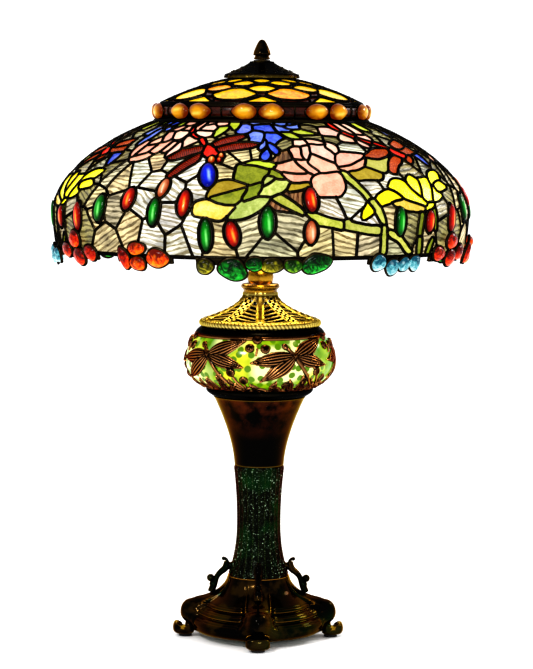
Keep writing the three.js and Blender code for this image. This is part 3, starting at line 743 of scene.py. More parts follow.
SHADE_PIECES = """
o -6.9,127 -2.6,128 .2,125 2,121 1.2,111 -.6,101 -2.8,97.5 -5.3,101 -7.3,104 -7.1,115
L -5.2,130 -2.6,136 -.3,137 1.6,134 4.1,134 3.8,128 2.2,123.6 .2,126.5 -2.6,128.6
a -14.1,76 -13.7,85 -12.3,97.5 -10,100 -7.3,100 -4.2,95 -4.2,92.5
o -13.6,76 -4.2,91.5 -5,81 -5.9,72 -7.5,68 -9.5,68 -11.4,71 -13.1,75
o -.6,99 -.1,98 -.2,89 -1.4,82 -2.6,77.5 -4.8,75 -3.9,84 -2.8,92.5 -1.7,97
y -17.4,67 -14.6,72 -11.7,67 -9.5,66 -7,65 -8.4,57 -9.8,49 -11.7,49 -13.9,52 -17.4,54
l -8.4,49 -6.4,59 -4.2,70 -1.7,76 2.2,77.5 .8,68 -1.4,59 -3.9,53 -5.9,51
l -.3,84 .2,89 1.6,96 4.1,103 7.7,104 7.2,96 6.1,90 3.8,83 2.7,82 .8,82.5
l 1.1,110 3.7,109 2.4,103 1.1,97.5
o 2.2,113 3.1,119 4.2,121 5.8,112.5 6.6,108 4.4,110
a 7.9,99 13.3,101 12.7,98 10.8,93 7.4,90
s 3.1,77.5 4.7,83 6.1,79.6 10.8,63 10.8,58 8.6,63 5.8,70
s 12,59 13.8,58 17.4,51 21.3,47.5 21.6,40 18.3,43 14.7,49 12.7,54
s 22.2,47.5 25.8,44 29.1,41 32.7,40.4 32.7,34 29.9,34 25.8,37.5 21.9,41
s 24,123 25.1,124 26.1,115 27.7,103 29.9,86 30.2,81 29,83 27.2,95 24.7,108
s 29.9,78 31.6,78 32.7,67 34,45 32.9,47.5 31.3,62 30.2,72
s 33.3,42 34.1,43 34.7,6 33.7,6
s 35.2,34.6 36.9,34.6 40.2,25 44.1,6 42.2,6 38.6,25 36,29
Y 27.2,52.5 27.4,62 29.1,73 30.5,67 30.6,62 29.1,57.5
o 46.9,59 48.1,59 47.4,46 47.2,29 46.2,29 46.3,46
o 46.3,27 47.4,27 47.7,0 46.9,-2 46.5,8
o 52,63 53.3,65 53.6,50 53.8,35 53,37.5 52.6,50
o 50.2,0 50.8,13 52.2,24 53,23 51.9,10 51.2,0
Y 32.2,82.5 34.7,89 37.2,93 39.1,92 41.1,82.5 39.9,81 37.4,78 33,72 32.2,78
Y 37.6,98 39.1,107 41.1,111 43.6,110 44.8,106 45.4,97.5 46.9,88 49.1,79 50.4,73 49.9,70 47.4,74 43,80 40.2,89
Y 45.5,107 46.9,115 48.8,119 50.8,112 50.8,106 49.9,92 48.8,85 46.9,92.5 45.8,100
Y 51.5,112.5 56.3,114 55.5,103 54.4,89 53.3,77.5 51.3,77 49.8,80 49.9,90 51.1,104
Y 56.6,104 57,114 59.5,123 63,128 66,126 65,115 60,108
Y 58,104 60.5,109.5 63,109 65.3,99.5 61.3,95 57.5,92
Y 53.8,78 54.9,90 57,98 58,90 59.5,86 57,80
y 37.2,74 40.2,77.5 43,76 48.8,68 48.6,64.6 44.4,64.6 41.6,66 38.6,71
Y 50.2,71 52.2,74 53.8,74 52.2,67.5 50.2,64.6 49.7,67.5
b -5.6,239 4.4,239 4.1,233 .8,231.5 -3.1,228 -5.1,229
B -3.9,223 -1.2,227 4.1,231.5 4.7,222 5.8,208 2.4,206.5 -1.4,210 -3.4,213
b -9.5,226.5 -5.9,227 -4.8,219 -4.2,206.5 -6.4,198 -9.2,197.5 -10.6,201 -9.8,214
b -9.8,239 -6.9,239 -7,232 -8.7,230 -9.8,232
b -5.3,200 -2.8,207 .5,205 .6,192 -.1,177 -2.6,177 -4.2,186
B 1.6,202 6.9,203 8.3,192 6.1,185 4.7,175 2.4,182 1.5,191.5
b 5.8,230 7.4,226.5 9.9,221.5 12,214 11,211 7.4,209 6.6,217
b 10.5,226 13.8,231.5 16.9,235 17.7,228 16.9,221.5 13.3,220
b 6.9,239 12.4,239 11.6,232 9.4,229 7.4,231.5
b 13,239 16.9,239 14.9,235 12.7,232
b 1.2,185 1.6,176 1.1,166 -.3,161 -.8,166 .5,176
B 2.7,176.5 4.4,172 6,159 4.9,152 3.6,159 2.7,168
B 1.9,161.5 2.9,151.5 1.9,140 1.1,138 .2,141 .2,151.5
L -17.3,239 -10.6,239 -10.5,222 -11.4,207 -12.8,210 -14.5,219
L -19.5,213 -15.2,215 -15.1,207 -16.4,195 -18.1,185 -19.5,189 -19.8,201.5
L 12.7,211 15.2,217 19.1,220 22.5,217 24.1,209 19.1,206 15.5,205
L 8,208 11.6,208 13.8,203 15.4,192 12.7,191 10.5,195 8.6,202
n 8.8,189 11.1,185 10.8,173 8.3,166 6.9,163 5.8,170 6.9,181
u 9.4,159 9.7,147 9.4,142 6.1,136.5 3,137 4.4,144 7.2,152
n 18.6,234 24.4,234 25.5,231 24.7,214 23.6,210 20.8,216 18,221
L 50.2,231 51.3,262 56.9,262 56.3,228 53.6,224
L -59.4,224 -56.7,223 -55.1,216 -55.3,202 -57.3,203 -58.7,213
L -44.2,211.5 -43.1,224 -40.6,222 -41.7,207 -42.6,201.5
r -19.9,164 -17.8,164 -15.1,152 -15.6,146.5 -17.6,141.5 -18.9,145 -19.9,153
R -17.6,170 -15.1,181 -10.9,189 -7,195 -6.4,189 -8.7,181 -12.3,171 -15.3,163 -17,165
R -15.3,159 -12.8,166 -8.7,172 -2.6,176 -.9,173 -2.6,166.5 -6.4,161.5 -10.3,156.5 -13.9,152
R -30.3,141 -27.3,151 -23.1,159 -20.3,161.5 -20,151.5 -22.6,146 -25.9,137 -29.2,131.5 -31.2,135
R -27.6,104 -26.2,116 -24.5,128 -22.3,139 -20,146.5 -20,131 -22.3,121.5 -24.8,109 -26.7,101
r -24.4,180 -22.6,181 -20.2,167 -20.3,162 -21.5,166 -23,174
r -30.1,191 -28.7,191.5 -24.2,181.5 -25.1,179 -27.8,183
r -33.1,208 -32,208 -29.8,194 -30.3,191.5 -32,198
R -32.8,234 -30.6,234 -31.2,219 -31.7,211.5 -32.8,214 -33.1,222
P 4.2,122 5.2,131 7.4,138 9.9,142 11.3,131 13.3,121.5 12.2,118 8.6,118 5.8,121
P 10.5,142 12.4,141.5 14.4,134 16.9,122 15.2,117 13.6,122 11.6,131.5
P 14.9,140 16.6,156 19,151 21,146 23.3,137 22.9,128 20.8,122 18,120.5 16.5,125 15.2,133
P 9.9,167 13.3,171 13,160 12.7,151 13.3,145 10.2,145 9.7,154
p 14.1,172 16.9,174 16.1,160 14.7,145 13.8,146 13.3,151 13.6,162
p 11.9,181 12.4,188 15.8,190 16.5,181 15.2,176 11.6,174
p 16.8,190.5 19,191 22,188 23.5,184 20.5,181 17.5,179.5
p 17.2,177.5 18.5,180 21,174 23.5,166 24.4,158 23.6,145 23,139.5 20,147 17.2,156.5 16.6,160
p 23.8,186 26.9,182 27.4,177 26.6,164 24.9,159 24.4,167
P 24.7,155 27.2,161.5 30.5,161 35.8,159 33.6,151.5 29.9,142 27.7,136.5 23.8,134 23.6,143
P 23.8,130 27.7,133 29.9,140 34.7,149 33.6,140 31.9,133 29.7,126.5 26.3,125 24.1,126.5
P 6.1,117.5 9.9,114 14.9,117 13.3,108 11.3,103 8.8,103 7.2,108
P 15.5,114 18,117 22.5,121 23.3,118 23.4,108 23.3,96 21.6,84 18,84.5 15.2,84 14.4,96 14.4,107
a 26.5,123 29.7,127 32.7,131.5 35.2,128 37.7,122 37.2,116 36.1,112 31,113 27.2,114.5
m 35.8,150 38.8,146.5 41.6,149 45.5,155 43,143 41.1,131 39.4,125 37.4,125 35.2,131.5 33.3,135 34.7,143
O 37.4,157 38.6,164 41.9,172 45.2,174 49.4,174 48.3,166.5 45.2,160 41.6,152 38.6,153
O 41.6,131 43.6,143 47.2,154 49.9,159 51.6,154 49.9,146.5 47.2,141 45.2,131.5 43.3,123 41.6,124
O 54.7,186 59.7,196 64,199 64,186 56.9,177 54.9,179
O 55.5,168 65,178 66,168 56.9,163
r 49.9,172 52.4,176.5 54.1,168 56.6,164 54.9,156.5 52.4,156 50.2,162
O 53.3,147 54.9,154 58.3,159 57.7,151 54.1,143
r 45.2,188 47.4,191.5 50.8,181.5 51.3,178 48.6,179
r 39.9,202 41.9,202 45.5,192 43.8,187 41.1,194
r 35.8,216.5 38,220 40.2,207 38.8,202 37.2,207
r 33.6,232 34.7,250 37.4,250 37.2,227 36.1,222 34.7,223
p 26.9,230 33,231.5 34.4,221 31.3,206 24.9,207 25.8,219
p 34.9,212 36.3,206 38,201 37.2,190 31.6,191.5 31.6,199 33.3,208
p 37.4,250 41.6,250 42.4,224 41.9,215 39.9,214 38.6,221 37.7,228
p 43,250 47.4,250 48,224 47.4,214 44.7,211.5 43.3,218 42.7,226.5
p 41.6,210 47.4,213 48,203 47.2,197 44.4,197 41.6,204
p 39.1,192 40.8,191 42.4,181.5 41.1,177 38.6,181 38.3,187
b -53.9,226 -50.1,225 -50.3,211 -52.8,210 -53.7,218
B -49.5,230 -45.6,230 -44.2,223 -44.8,217 -46.4,206.5 -48.4,206 -49.8,214
b -47.8,199 -45.3,203 -43.7,196 -45.6,192
b -55.1,203 -51.4,205 -52.3,189 -53.4,180 -56.4,181 -55.6,192
b -50.9,197 -48.7,197 -47.6,181 -48.1,168 -49.2,156 -50.9,156.5 -51.4,168 -51.2,185
B -57.8,136.5 -53.7,139 -53.1,131 -54.5,116.5 -55.9,117 -57,125
P -48.4,164 -46.2,166 -45.3,156 -45.6,143 -46.4,131.5 -48.1,136.5 -48.9,149
P -45.1,154 -40.3,159 -39.8,151.5 -41.4,143 -44.2,138 -45.6,135 -45.3,145
P -44.8,161.5 -43.9,170 -42,177 -40.9,172 -40.1,165 -40.9,161.5 -43.9,158
P -42.3,190 -40.1,192 -38.9,190 -36.4,175 -37.3,167 -39.2,166 -40.6,172
P -46.4,129 -42.8,136.5 -38.1,139 -38.7,133 -42,126.5 -45.3,125
P -39.8,160 -35.3,171.5 -34.8,166.5 -35.6,149 -37.6,141.5 -39.8,145 -40.6,147
p -34.5,166.5 -32,167 -32.6,156 -33.4,146 -35.6,147 -35.3,157
p -31.2,167 -30,166.5 -28.7,153 -30.3,143 -32,135 -32.3,145
p -38.4,190 -37,196 -32.8,196 -31.2,189 -32,176 -34.8,173 -36.7,177
p -30.1,182 -27.8,181 -24.2,172 -26.2,164 -28.1,156 -29.2,164 -30.1,174
P -40.6,228 -37.6,231.5 -34.5,230 -33.9,218 -34.8,212 -38.4,211.5 -40.3,215
P -41.4,204 -38.4,210 -37,206 -37.8,196.5 -39.8,194 -42.6,192
P -36.2,206 -34.2,211.5 -33.1,207 -32.6,198 -36.4,196.5
p -28.4,197 -20.3,197 -20.3,187 -23.7,182 -26.4,186 -28.1,191.5
p -27.6,203 -26.2,215 -23.1,220 -20.3,211.5 -20.6,204 -24.5,201.5
P -30.3,231 -28.4,230 -28.1,216 -28.9,202 -30.9,210 -30.6,220
P -28.1,235 -23.1,234 -23.7,224 -25.9,218 -27.6,219
P -22.8,232 -18,238 -16.3,222 -18,216 -20.8,216.5 -22.3,221.5
"""

# Ground glass between the drawn pieces: degrees, millimetres up, kind.
SHADE_GROUND = """
-44.5,95,t -36.8,110,c -31,100,c -41.5,55,g -32.3,65,c -36,37,t -49.5,48,t -53.5,35,n -45.5,18,t -29.5,28,c
-24,45,c -24.3,90,c -17.5,92,c -56,76,n -50.5,65,t -21.3,25,c -18.3,30,c -11.5,28,t -3.5,38,g 8,38,g
3.5,12,g 15.5,18,t 17,66,c 9,80,u -11.5,115,t -6.5,144,t 24.5,82,c 30.5,98,c 29.5,50,c 35.5,55,t
42.5,40,n 38,12,g 29,22,g 22.5,22,t 49.3,25,t 56.5,65,g 58,40,n 39.3,113,c 50,130,n 60.5,138,g
-19.5,175,t -16.5,190,n -14,200,n 32,172,c 22,199,n -48,100,g -52,108,n -28,122,c -33,122,t -22,110,c
9,150,t 44,175,g 57,150,n -57,155,n -53,160,g -54,130,n -36,185,n 50,205,n 58,215,n 42,235,n 30,215,n
0,149,t -9,135,t 37,140,c 27,196,n 55,200,g -48,190,n -56,95,g 30,120,c
"""

# Long glass drops set in the ground: kind, degrees, millimetres up, half width in degrees, half height,
# and how many degrees the top leans.
SHADE_DROPS = """
blue,-15.3,108.5,2.3,19.5,-1.9 red,-20.4,67,1.6,17,.4 green,-14.2,28.7,1.5,20,0 red,-7.3,31,1.7,15.5,-1.2
green,1.75,46.5,1.75,19,0 red,13.2,77.3,1.7,16,0 peach,12.95,34.8,1.45,14,0 green,39.2,48.8,1.5,18,.2
red,50.8,48.3,1.7,13.5,.4 red,-37.6,69.2,1.8,14.5,.6 peach,-27.4,86.3,1.35,13,.8 green,-28.8,54.6,1.5,17,.6
red,-57.8,43.3,1.8,18,0 green,-47.7,55.4,2,17,.2 orange,-15.6,134.4,1.1,6,0 orange,-12.9,142.7,.8,4.5,0
red,-13.1,134.4,.7,3.5,0
"""


SLANT = 0.098  # the share by which heights read at the right edge are too large, and at the left too small


def read_outline(words):
    """Outline words as numbers, with the slant that a straight-on view gives the sides taken out."""
    points = np.array([[float(n) for n in word.split(",")] for word in words])
    return upright(points[:, 0], points[:, 1])


def upright(degrees, along):
    return np.stack([degrees, along * (1 - SLANT * np.sin(np.radians(degrees)))], -1)


def drop_outline(width, height, pointed=0.0):
    """Half width and half height to a ring, pinched towards its ends."""
    t = np.linspace(0, 2 * np.pi, 25)[:-1]
    x = np.sin(t) * (1 - pointed * np.abs(np.cos(t)) ** 3)
    return np.stack([x * width, np.cos(t) * height], 1)


# Heights of the dome's edges and widest place, and the numbers of the curve between them.
SHADE_RIM, SHADE_WIDEST, SHADE_TOP = 525, 573, 694
SHADE_RADIUS, SHADE_TUCK, SHADE_RISE, SHADE_POWER = 277, 5, 147, 1.8


def shade_radius(z):
    if z < SHADE_WIDEST:
        return SHADE_RADIUS - SHADE_TUCK * ((SHADE_WIDEST - z) / (SHADE_WIDEST - SHADE_RIM)) ** 1.5
    return SHADE_RADIUS * (1 - ((z - SHADE_WIDEST) / SHADE_RISE) ** SHADE_POWER) ** (1 / SHADE_POWER)


# ---- Glass looks -------------------------------------------------------------------------------

# How much of its own colour each kind of glass reflects, the rest being light from behind.
SHEET_REFLECTS, STONE_REFLECTS, BOWL_REFLECTS = 0.16, 0.08, 0.14


def sheet_glass(name, pattern, depth, gloss, glow):
    """Art glass lit from behind: a tint and a streak colour from the piece, mixed by a grain."""
    look = Look(name, coat=0.02, coat_rough=0.06, specular=0.14)
    place_ = look.node("UVMap").outputs[0]
    tint, streak = look.attribute("tint"), look.attribute("streak")
    if pattern == "ripple":
        stretch = look.stretched(place_, (0.55, 1.55, 1))
        wander = look.node("TexNoise")
        look.link(stretch, wander.inputs["Vector"])
        wander.inputs["Scale"].default_value = 0.8
        moved = look.node("VectorMath", operation="MULTIPLY_ADD")
        look.link(wander.outputs["Color"], moved.inputs[0])
        moved.inputs[1].default_value = (1.1, 1.1, 0)
        look.link(stretch, moved.inputs[2])
        vector = moved.outputs[0]
        ridge = look.wave(vector, 0.30, 6.5, 3, "Y")
        fine = look.noise(vector, 1.5, 4, 0.6, 1.6)
        lines = look.ramp(ridge, (0.26, 0.0), (0.50, 1.0))
        factor = look.mix(0.35, lines, look.ramp(fine, (0.36, 0.0), (0.62, 1.0)))
        broad = look.ramp(look.noise(vector, 0.5, 3), (0.36, 0.42), (0.62, 1.12))
        colour = look.mix(factor, streak, tint)
        colour = look.mix(1.0, colour, broad, "MULTIPLY")
        height = look.mix(0.4, ridge, fine)
    elif pattern == "opal":
        cloud = look.noise(place_, 0.55, 4, 0.55, 1.5)
        wisp = look.noise(place_, 1.7, 5, 0.65, 2.0)
        factor = look.mix(0.4, look.ramp(cloud, (0.36, 0.0), (0.64, 1.0)), look.ramp(wisp, (0.4, 0.0), (0.62, 1.0)))
        colour = look.mix(factor, tint, streak)
        height = wisp
    elif pattern == "drapery":
        ridge = look.wave(look.stretched(place_, (1.0, 0.6, 1)), 1.15, 2.6, 2, "X")
        speck = look.cells(place_, 4.2)
        factor = look.mix(0.5, look.ramp(ridge, (0.25, 0.0), (0.8, 1.0)), look.ramp(speck, (0.12, 1.0), (0.5, 0.0)))
        colour = look.mix(factor, tint, streak)
        height = ridge
    else:
        blotch = look.noise(place_, 1.0, 5, 0.62, 1.0)
        factor = look.ramp(blotch, (0.36, 0.0), (0.64, 1.0))
        colour = look.mix(factor, tint, streak)
        height = blotch
    fleck = look.ramp(look.noise(place_, 9, 3), (0.3, 0.86), (0.6, 1.06))
    colour = look.mix(1.0, colour, fleck, "MULTIPLY")
    look.lit_from_behind(colour, glow, SHEET_REFLECTS)
    look.rough_between(look.noise(place_, 3, 3), 0.3, 0.7, gloss, gloss + 0.16)
    look.set("normal", look.bump(height, 0.6, depth))
    return look


def jewel_look(name, deep, bright, glint, scale=130, rim=(0.62, 1.2)):
    """Moulded glass with light held in it: deep colour at each stone's rim, bright at its heart, a painted highlight.
    """
    look = Look(name, coat=0.02, coat_rough=0.03, specular=0.1)
    across, up = look.split(look.node("UVMap").outputs[0])[:2]
    from_middle = look.math("SQRT", look.math("ADD", look.math("MULTIPLY", across, across),
                                              look.math("MULTIPLY", up, up)))
    place_ = look.coordinates()
    cloud = look.noise(place_, scale, 4, 0.6, 1.0)
    heart = look.math("MULTIPLY", look.math("ADD", from_middle, look.math("MULTIPLY", cloud, 0.55)), 0.6)
    body = look.ramp(heart, (rim[0] * 0.6, bright), (rim[1] * 0.6, deep))
    # A painted highlight: a streak of the glint colour slanting across the stone, held near its middle.
    line = look.math("ADD", across, look.math("MULTIPLY", up, 0.16))
    line = look.math("ABSOLUTE", look.math("SUBTRACT", line, 0.2))
    streak = look.ramp(look.math("ADD", line, look.math("MULTIPLY", cloud, 0.2)), (0.10, 0.9), (0.42, 0.0))
    inner = look.ramp(look.math("ABSOLUTE", look.math("ADD", up, 0.12)), (0.2, 1.0), (0.62, 0.0))
    colour = look.mix(look.math("MULTIPLY", streak, inner), body, glint)
    look.lit_from_behind(colour, 0.85, STONE_REFLECTS)
    look.rough_between(cloud, 0.3, 0.8, 0.06, 0.16)
    look.set("normal", look.bump(look.noise(place_, scale * 1.6, 2), 0.25, 0.0006))
    return look


def nugget_look(name, deep, mid, bright):
    """Lumpy chunk glass: dark folds, bright pockets where light gathers."""
    look = Look(name, coat=0.02, coat_rough=0.03, specular=0.1)
    place_ = look.coordinates()
    fold = look.noise(place_, 95, 4, 0.6, 2.2)
    pocket = look.cells(place_, 105, "SMOOTH_F1")
    low = look.math("MULTIPLY", look.split(look.node("UVMap").outputs[0])[1], -0.24)
    heart = look.math("ADD", fold, low)
    colour = look.mix(look.ramp(heart, (0.36, 0.0), (0.56, 1.0)), deep, mid)
    gather = look.math("ADD", look.ramp(pocket, (0.05, 0.35), (0.3, 0.0)), look.ramp(heart, (0.56, 0.0), (0.82, 1.0)))
    colour = look.mix(gather, colour, bright)
    look.lit_from_behind(colour, 0.9, STONE_REFLECTS)
    look.rough_between(fold, 0.3, 0.8, 0.05, 0.15)
    look.set("normal", look.bump(fold, 0.5, 0.0012))
    return look


lead = bronze_look("lead_came", (9, 8, 6), (20, 17, 11), (56, 46, 26), 0.5, low=0.54, high=0.68)

GLASS = [
    sheet_glass("ripple_glass", "ripple", 0.0022, 0.1, 0.95),
    sheet_glass("opal_glass", "opal", 0.0006, 0.14, 0.9),
    sheet_glass("drapery_glass", "drapery", 0.0016, 0.14, 0.9),
    sheet_glass("mottled_glass", "mottle", 0.0007, 0.16, 0.9),
]
RIPPLE, OPAL, DRAPERY, MOTTLE = range(4)
JEWELS = {
    "blue": jewel_look("blue_drop", (0, 8, 130), (8, 40, 236), (170, 204, 255)),
    "red": jewel_look("red_drop", (112, 4, 0), (236, 40, 2), (255, 186, 70)),
    "green": jewel_look("green_drop", (0, 52, 6), (6, 156, 30), (150, 246, 140)),
    "peach": jewel_look("peach_drop", (160, 70, 34), (240, 160, 110), (255, 226, 196)),
    "orange": jewel_look("orange_drop", (150, 46, 0), (250, 140, 20), (255, 232, 170)),
    "amber": jewel_look("amber_jewel", (112, 40, 0), (224, 156, 16), (250, 214, 96), scale=80,
                        rim=(0.62, 1.22)),
}
TINTS = {
    "c": ((255, 253, 240), (142, 128, 84), RIPPLE, "level"),
    "t": ((244, 226, 172), (104, 84, 40), RIPPLE, "level"),
    "g": ((216, 206, 172), (82, 74, 44), RIPPLE, "level"),
    "n": ((168, 158, 106), (60, 52, 20), RIPPLE, "level"),
    "u": ((170, 126, 84), (84, 48, 24), RIPPLE, "upright"),
    "P": ((226, 150, 124), (244, 190, 164), OPAL, "along"),
    "p": ((232, 172, 148), (248, 212, 192), OPAL, "along"),
    "Y": ((255, 228, 0), (255, 242, 24), OPAL, "along"),
    "y": ((200, 172, 44), (246, 206, 110), OPAL, "along"),
    "L": ((160, 180, 30), (202, 210, 80), OPAL, "along"),
    "l": ((150, 164, 74), (204, 212, 132), OPAL, "along"),
    "o": ((98, 110, 22), (150, 158, 44), OPAL, "along"),
    "a": ((150, 128, 24), (184, 162, 56), OPAL, "along"),
    "m": ((170, 172, 60), (208, 206, 110), OPAL, "along"),
    "s": ((150, 160, 50), (206, 206, 110), OPAL, "along"),
    "B": ((34, 58, 186), (84, 116, 224), MOTTLE, "along"),
    "b": ((66, 96, 206), (140, 160, 236), MOTTLE, "along"),
    "R": ((70, 4, 2), (186, 60, 20), DRAPERY, "along"),
    "r": ((206, 20, 14), (240, 70, 40), DRAPERY, "along"),
    "O": ((120, 30, 6), (236, 112, 26), DRAPERY, "along"),
    "gem": ((40, 34, 24), (20, 16, 10), OPAL, "along"),
    "brown": ((70, 26, 14), (24, 8, 4), MOTTLE, "level"),
    "gold": ((218, 158, 0), (250, 206, 8), MOTTLE, "along"),
    "amber": ((224, 116, 4), (246, 178, 34), MOTTLE, "along"),
}


def dome_stone(builder, surface, degrees, along, half_width, half_height, rise, lean=0.0,
               blunt=0.0, lumps=0.0, pointed=0.0, seat=-0.4):
    """A moulded stone standing on a surface. Its UV runs -1 to 1 across and up the stone."""
    side, up, out = frame_at(surface, degrees, along, lean)
    centre = surface.at(degrees, along)
    t = np.linspace(0, 2 * np.pi, 28, endpoint=False)
    phase = rng.uniform(0, 6.28, 3)
    wobble = 1 + lumps * (np.sin(2 * t + phase[0]) * 0.5 + np.sin(3 * t + phase[1]) * 0.35
                          + np.sin(5 * t + phase[2]) * 0.2)
    x, y = np.sin(t) * wobble, np.cos(t) * wobble
    x = x * (1 - pointed * np.clip(y, 0, 1) ** 1.5)
    rings, uvs = [], []
    for lat in np.linspace(0, math.pi / 2, 8):
        share = math.cos(lat) ** (0.8 + blunt)
        height = seat + (rise - seat) * math.sin(lat)
        bulge = 1 + lumps * 0.5 * np.sin(3 * t + phase[2] + 2 * lat) * math.cos(lat)
        ring = centre + out * height + (x * bulge * half_width * share)[:, None] * side
        ring = ring + (y * bulge * half_height * share)[:, None] * up
        rings.append(ring)
        uvs.append(np.stack([x * share, y * share], 1))
    # Rings run clockwise seen from outside, so they are reversed to face the glass outwards.
    builder.grid(np.array(rings)[:, ::-1], np.array(uvs)[:, ::-1], close_v=True)


# ---- The shade ---------------------------------------------------------------------------------

REPEATS = 3  # the drawing goes three times round
shade_line = Surface([[shade_radius(z), z] for z in np.linspace(SHADE_RIM, SHADE_TOP, 140)], inset=1.4)
shade_cartoon = Cartoon(shade_line, REPEATS, 600, 240)
for row in SHADE_PIECES.strip().splitlines():
    kind, *words = row.split()
    shade_cartoon.paint(kind, read_outline(words))
drops = []
for word in SHADE_DROPS.split():
    colour, *numbers = word.split(",")
    degrees, along, half_width, half_height, lean = (float(n) for n in numbers)
    degrees, along = upright(np.array([degrees]), np.array([along]))[0]
    per = float(shade_line.per_degree(along))
    half_width *= per * 0.92
    outline = drop_outline(half_width + 0.4, half_height + 0.4, 0.16)
    angle = math.atan2(lean * per, 2 * half_height)
    turned = np.stack([
        outline[:, 0] * math.cos(angle) + outline[:, 1] * math.sin(angle),
        outline[:, 1] * math.cos(angle) - outline[:, 0] * math.sin(angle),
    ], 1)
    shade_cartoon.paint("gem", turned / (per, 1) + (degrees, along), rounds=0)
    drops.append((colour, degrees, along, half_width, half_height, -math.degrees(angle)))
shade_cartoon.grow(3)
ground = [word.split(",") for word in SHADE_GROUND.split()]
ground = [(*upright(float(x), float(y)), kind) for x, y, kind in ground]
shade_cartoon.fill(ground)
shade_cartoon.tidy(75)

came = Builder()
lay_came(shade_cartoon, came, 3.9, 3.4, 1.1, 2.4, rounds=5)
edge_cames(came, shade_line, ((1.2, 5.2), (shade_line.length - 1.4, 5.0)), 240, 1.3, 2.6)
came.make("shade_came", [lead], "shade", "bronze", smooth=60)
lay_glass("shade_glass_panels", shade_cartoon, TINTS, GLASS, "shade", ["shade_dome"])

DROP_SLOT = {"blue": "aqua_glass", "red": "red_glass", "green": "green_glass", "peach": "amber_glass",
             "orange": "amber_glass"}
for colour, slot in DROP_SLOT.items():
    stones = Builder()
    for kind, degrees, along, half_width, half_height, lean in drops:
        if kind != colour:
            continue
        for repeat in range(REPEATS):
            dome_stone(stones, shade_line, degrees + 120 * repeat, along, half_width, half_height, 3.6, lean,
                       blunt=0.1)
    stones.make(f"{colour}_drops", [JEWELS[colour]], "shade", slot, smooth=180)


# ---- Rim: a row of chunky stones in four clusters, three times round ---------------------------

RIM_DROP = 40  # from the foot of rim_line up to the shade's edge, mm
MM_PER_DEGREE = 4.7  # along the rim
rim_line = Surface(
    [[264, 485], [267.5, 497], [270, 510], [271.5, 525]]
    + [[shade_radius(z), z] for z in np.linspace(527, 560, 8)], inset=0.5)
# Colour, degrees, millimetres up from the rim, width in degrees, height, and how pointed the stone is.
RIM_STONES = """
red,55.5,4,5.2,21,0 red,61.5,19,5.4,23,.1 red,62.5,-3,5.6,24,0 red,68.4,3,5.2,22,.1
red,-38.4,-1,3.4,32,.1 orange,-33.8,12,5.4,17,0 orange,-34,-7,5.2,19,0 orange,-27.8,1,7,25,.35
olive,-14.5,-8,4.2,21,0 green,-7.2,-11,7.6,27,.2 green,-1.6,-4,4.6,18,0 olive,3,-6,5.4,19,0
moss,8.5,-6,4.6,18,0 green,14.5,-3,7.6,27,.45
aqua,32.5,-4,4.5,22,0 aqua,37,-10,4.3,21,0 aqua,41,-7,4.1,20,0 aqua,45,-6,4.2,22,0
"""
NUGGETS = {
    "red": nugget_look("red_nugget", (84, 4, 0), (200, 34, 0), (252, 104, 12)),
    "orange": nugget_look("orange_nugget", (112, 20, 0), (226, 72, 0), (255, 160, 20)),
    "green": nugget_look("green_nugget", (0, 26, 4), (0, 88, 20), (50, 226, 74)),
    "moss": nugget_look("moss_nugget", (8, 36, 0), (38, 100, 8), (160, 214, 50)),
    "olive": nugget_look("olive_nugget", (34, 34, 0), (96, 94, 6), (222, 210, 60)),
    "aqua": nugget_look("aqua_nugget", (16, 84, 104), (96, 176, 186), (236, 255, 255)),
}


def nugget(builder, ring_builder, surface, degrees, along, half_width, half_height, pointed, look, lift):
    """A closed lumpy stone with a came round its middle."""
    side, up, out = frame_at(surface, degrees, along, rng.uniform(-14, 14))
    centre = surface.at(degrees, along, lift)
    t = np.linspace(0, 2 * np.pi, 32, endpoint=False)
    phase = rng.uniform(0, 6.28, 4)
    wobble = (1 + 0.05 * np.sin(2 * t + phase[0]) + 0.045 * np.sin(3 * t + phase[1])
              + 0.02 * np.sin(5 * t + phase[2]))
    x, y = np.sin(t) * wobble, np.cos(t) * wobble
    x = x * (1 - pointed * np.clip(y, 0, 1) ** 1.4)
    rings, uvs = [], []
    for lat in np.linspace(-math.pi / 2 + 0.05, math.pi / 2 - 0.02, 15):
        share = math.cos(lat) ** 0.72
        lump = 1 + 0.10 * np.sin(2 * t + phase[3] + 3 * lat) * math.cos(lat)
        depth = 6.6 * math.sin(lat) if lat > 0 else 4.2 * math.sin(lat)
        ring = centre + out * (depth * lump)[:, None]
        ring = ring + (x * half_width * share)[:, None] * side + (y * half_height * share)[:, None] * up
        rings.append(ring[::-1])
        uvs.append(np.stack([x * share, y * share], 1)[::-1])
    index = builder.grid(np.array(rings), np.array(uvs), close_v=True, look=look)
    builder.cap(index[0, :-1], look, flip=True)
    builder.cap(index[-1, :-1], look)
    waist = centre + ((x * (half_width + 0.5))[:, None] * side + (y * (half_height + 0.5))[:, None] * up)
    outward = x[:, None] * side + y[:, None] * up
    outward /= np.linalg.norm(outward, axis=1)[:, None]
    ring_builder.tube(waist, outward, [(-2.0, -1.2), (-1.6, 0.9), (0, 1.5), (1.6, 0.9), (2.0, -1.2)], closed=True)


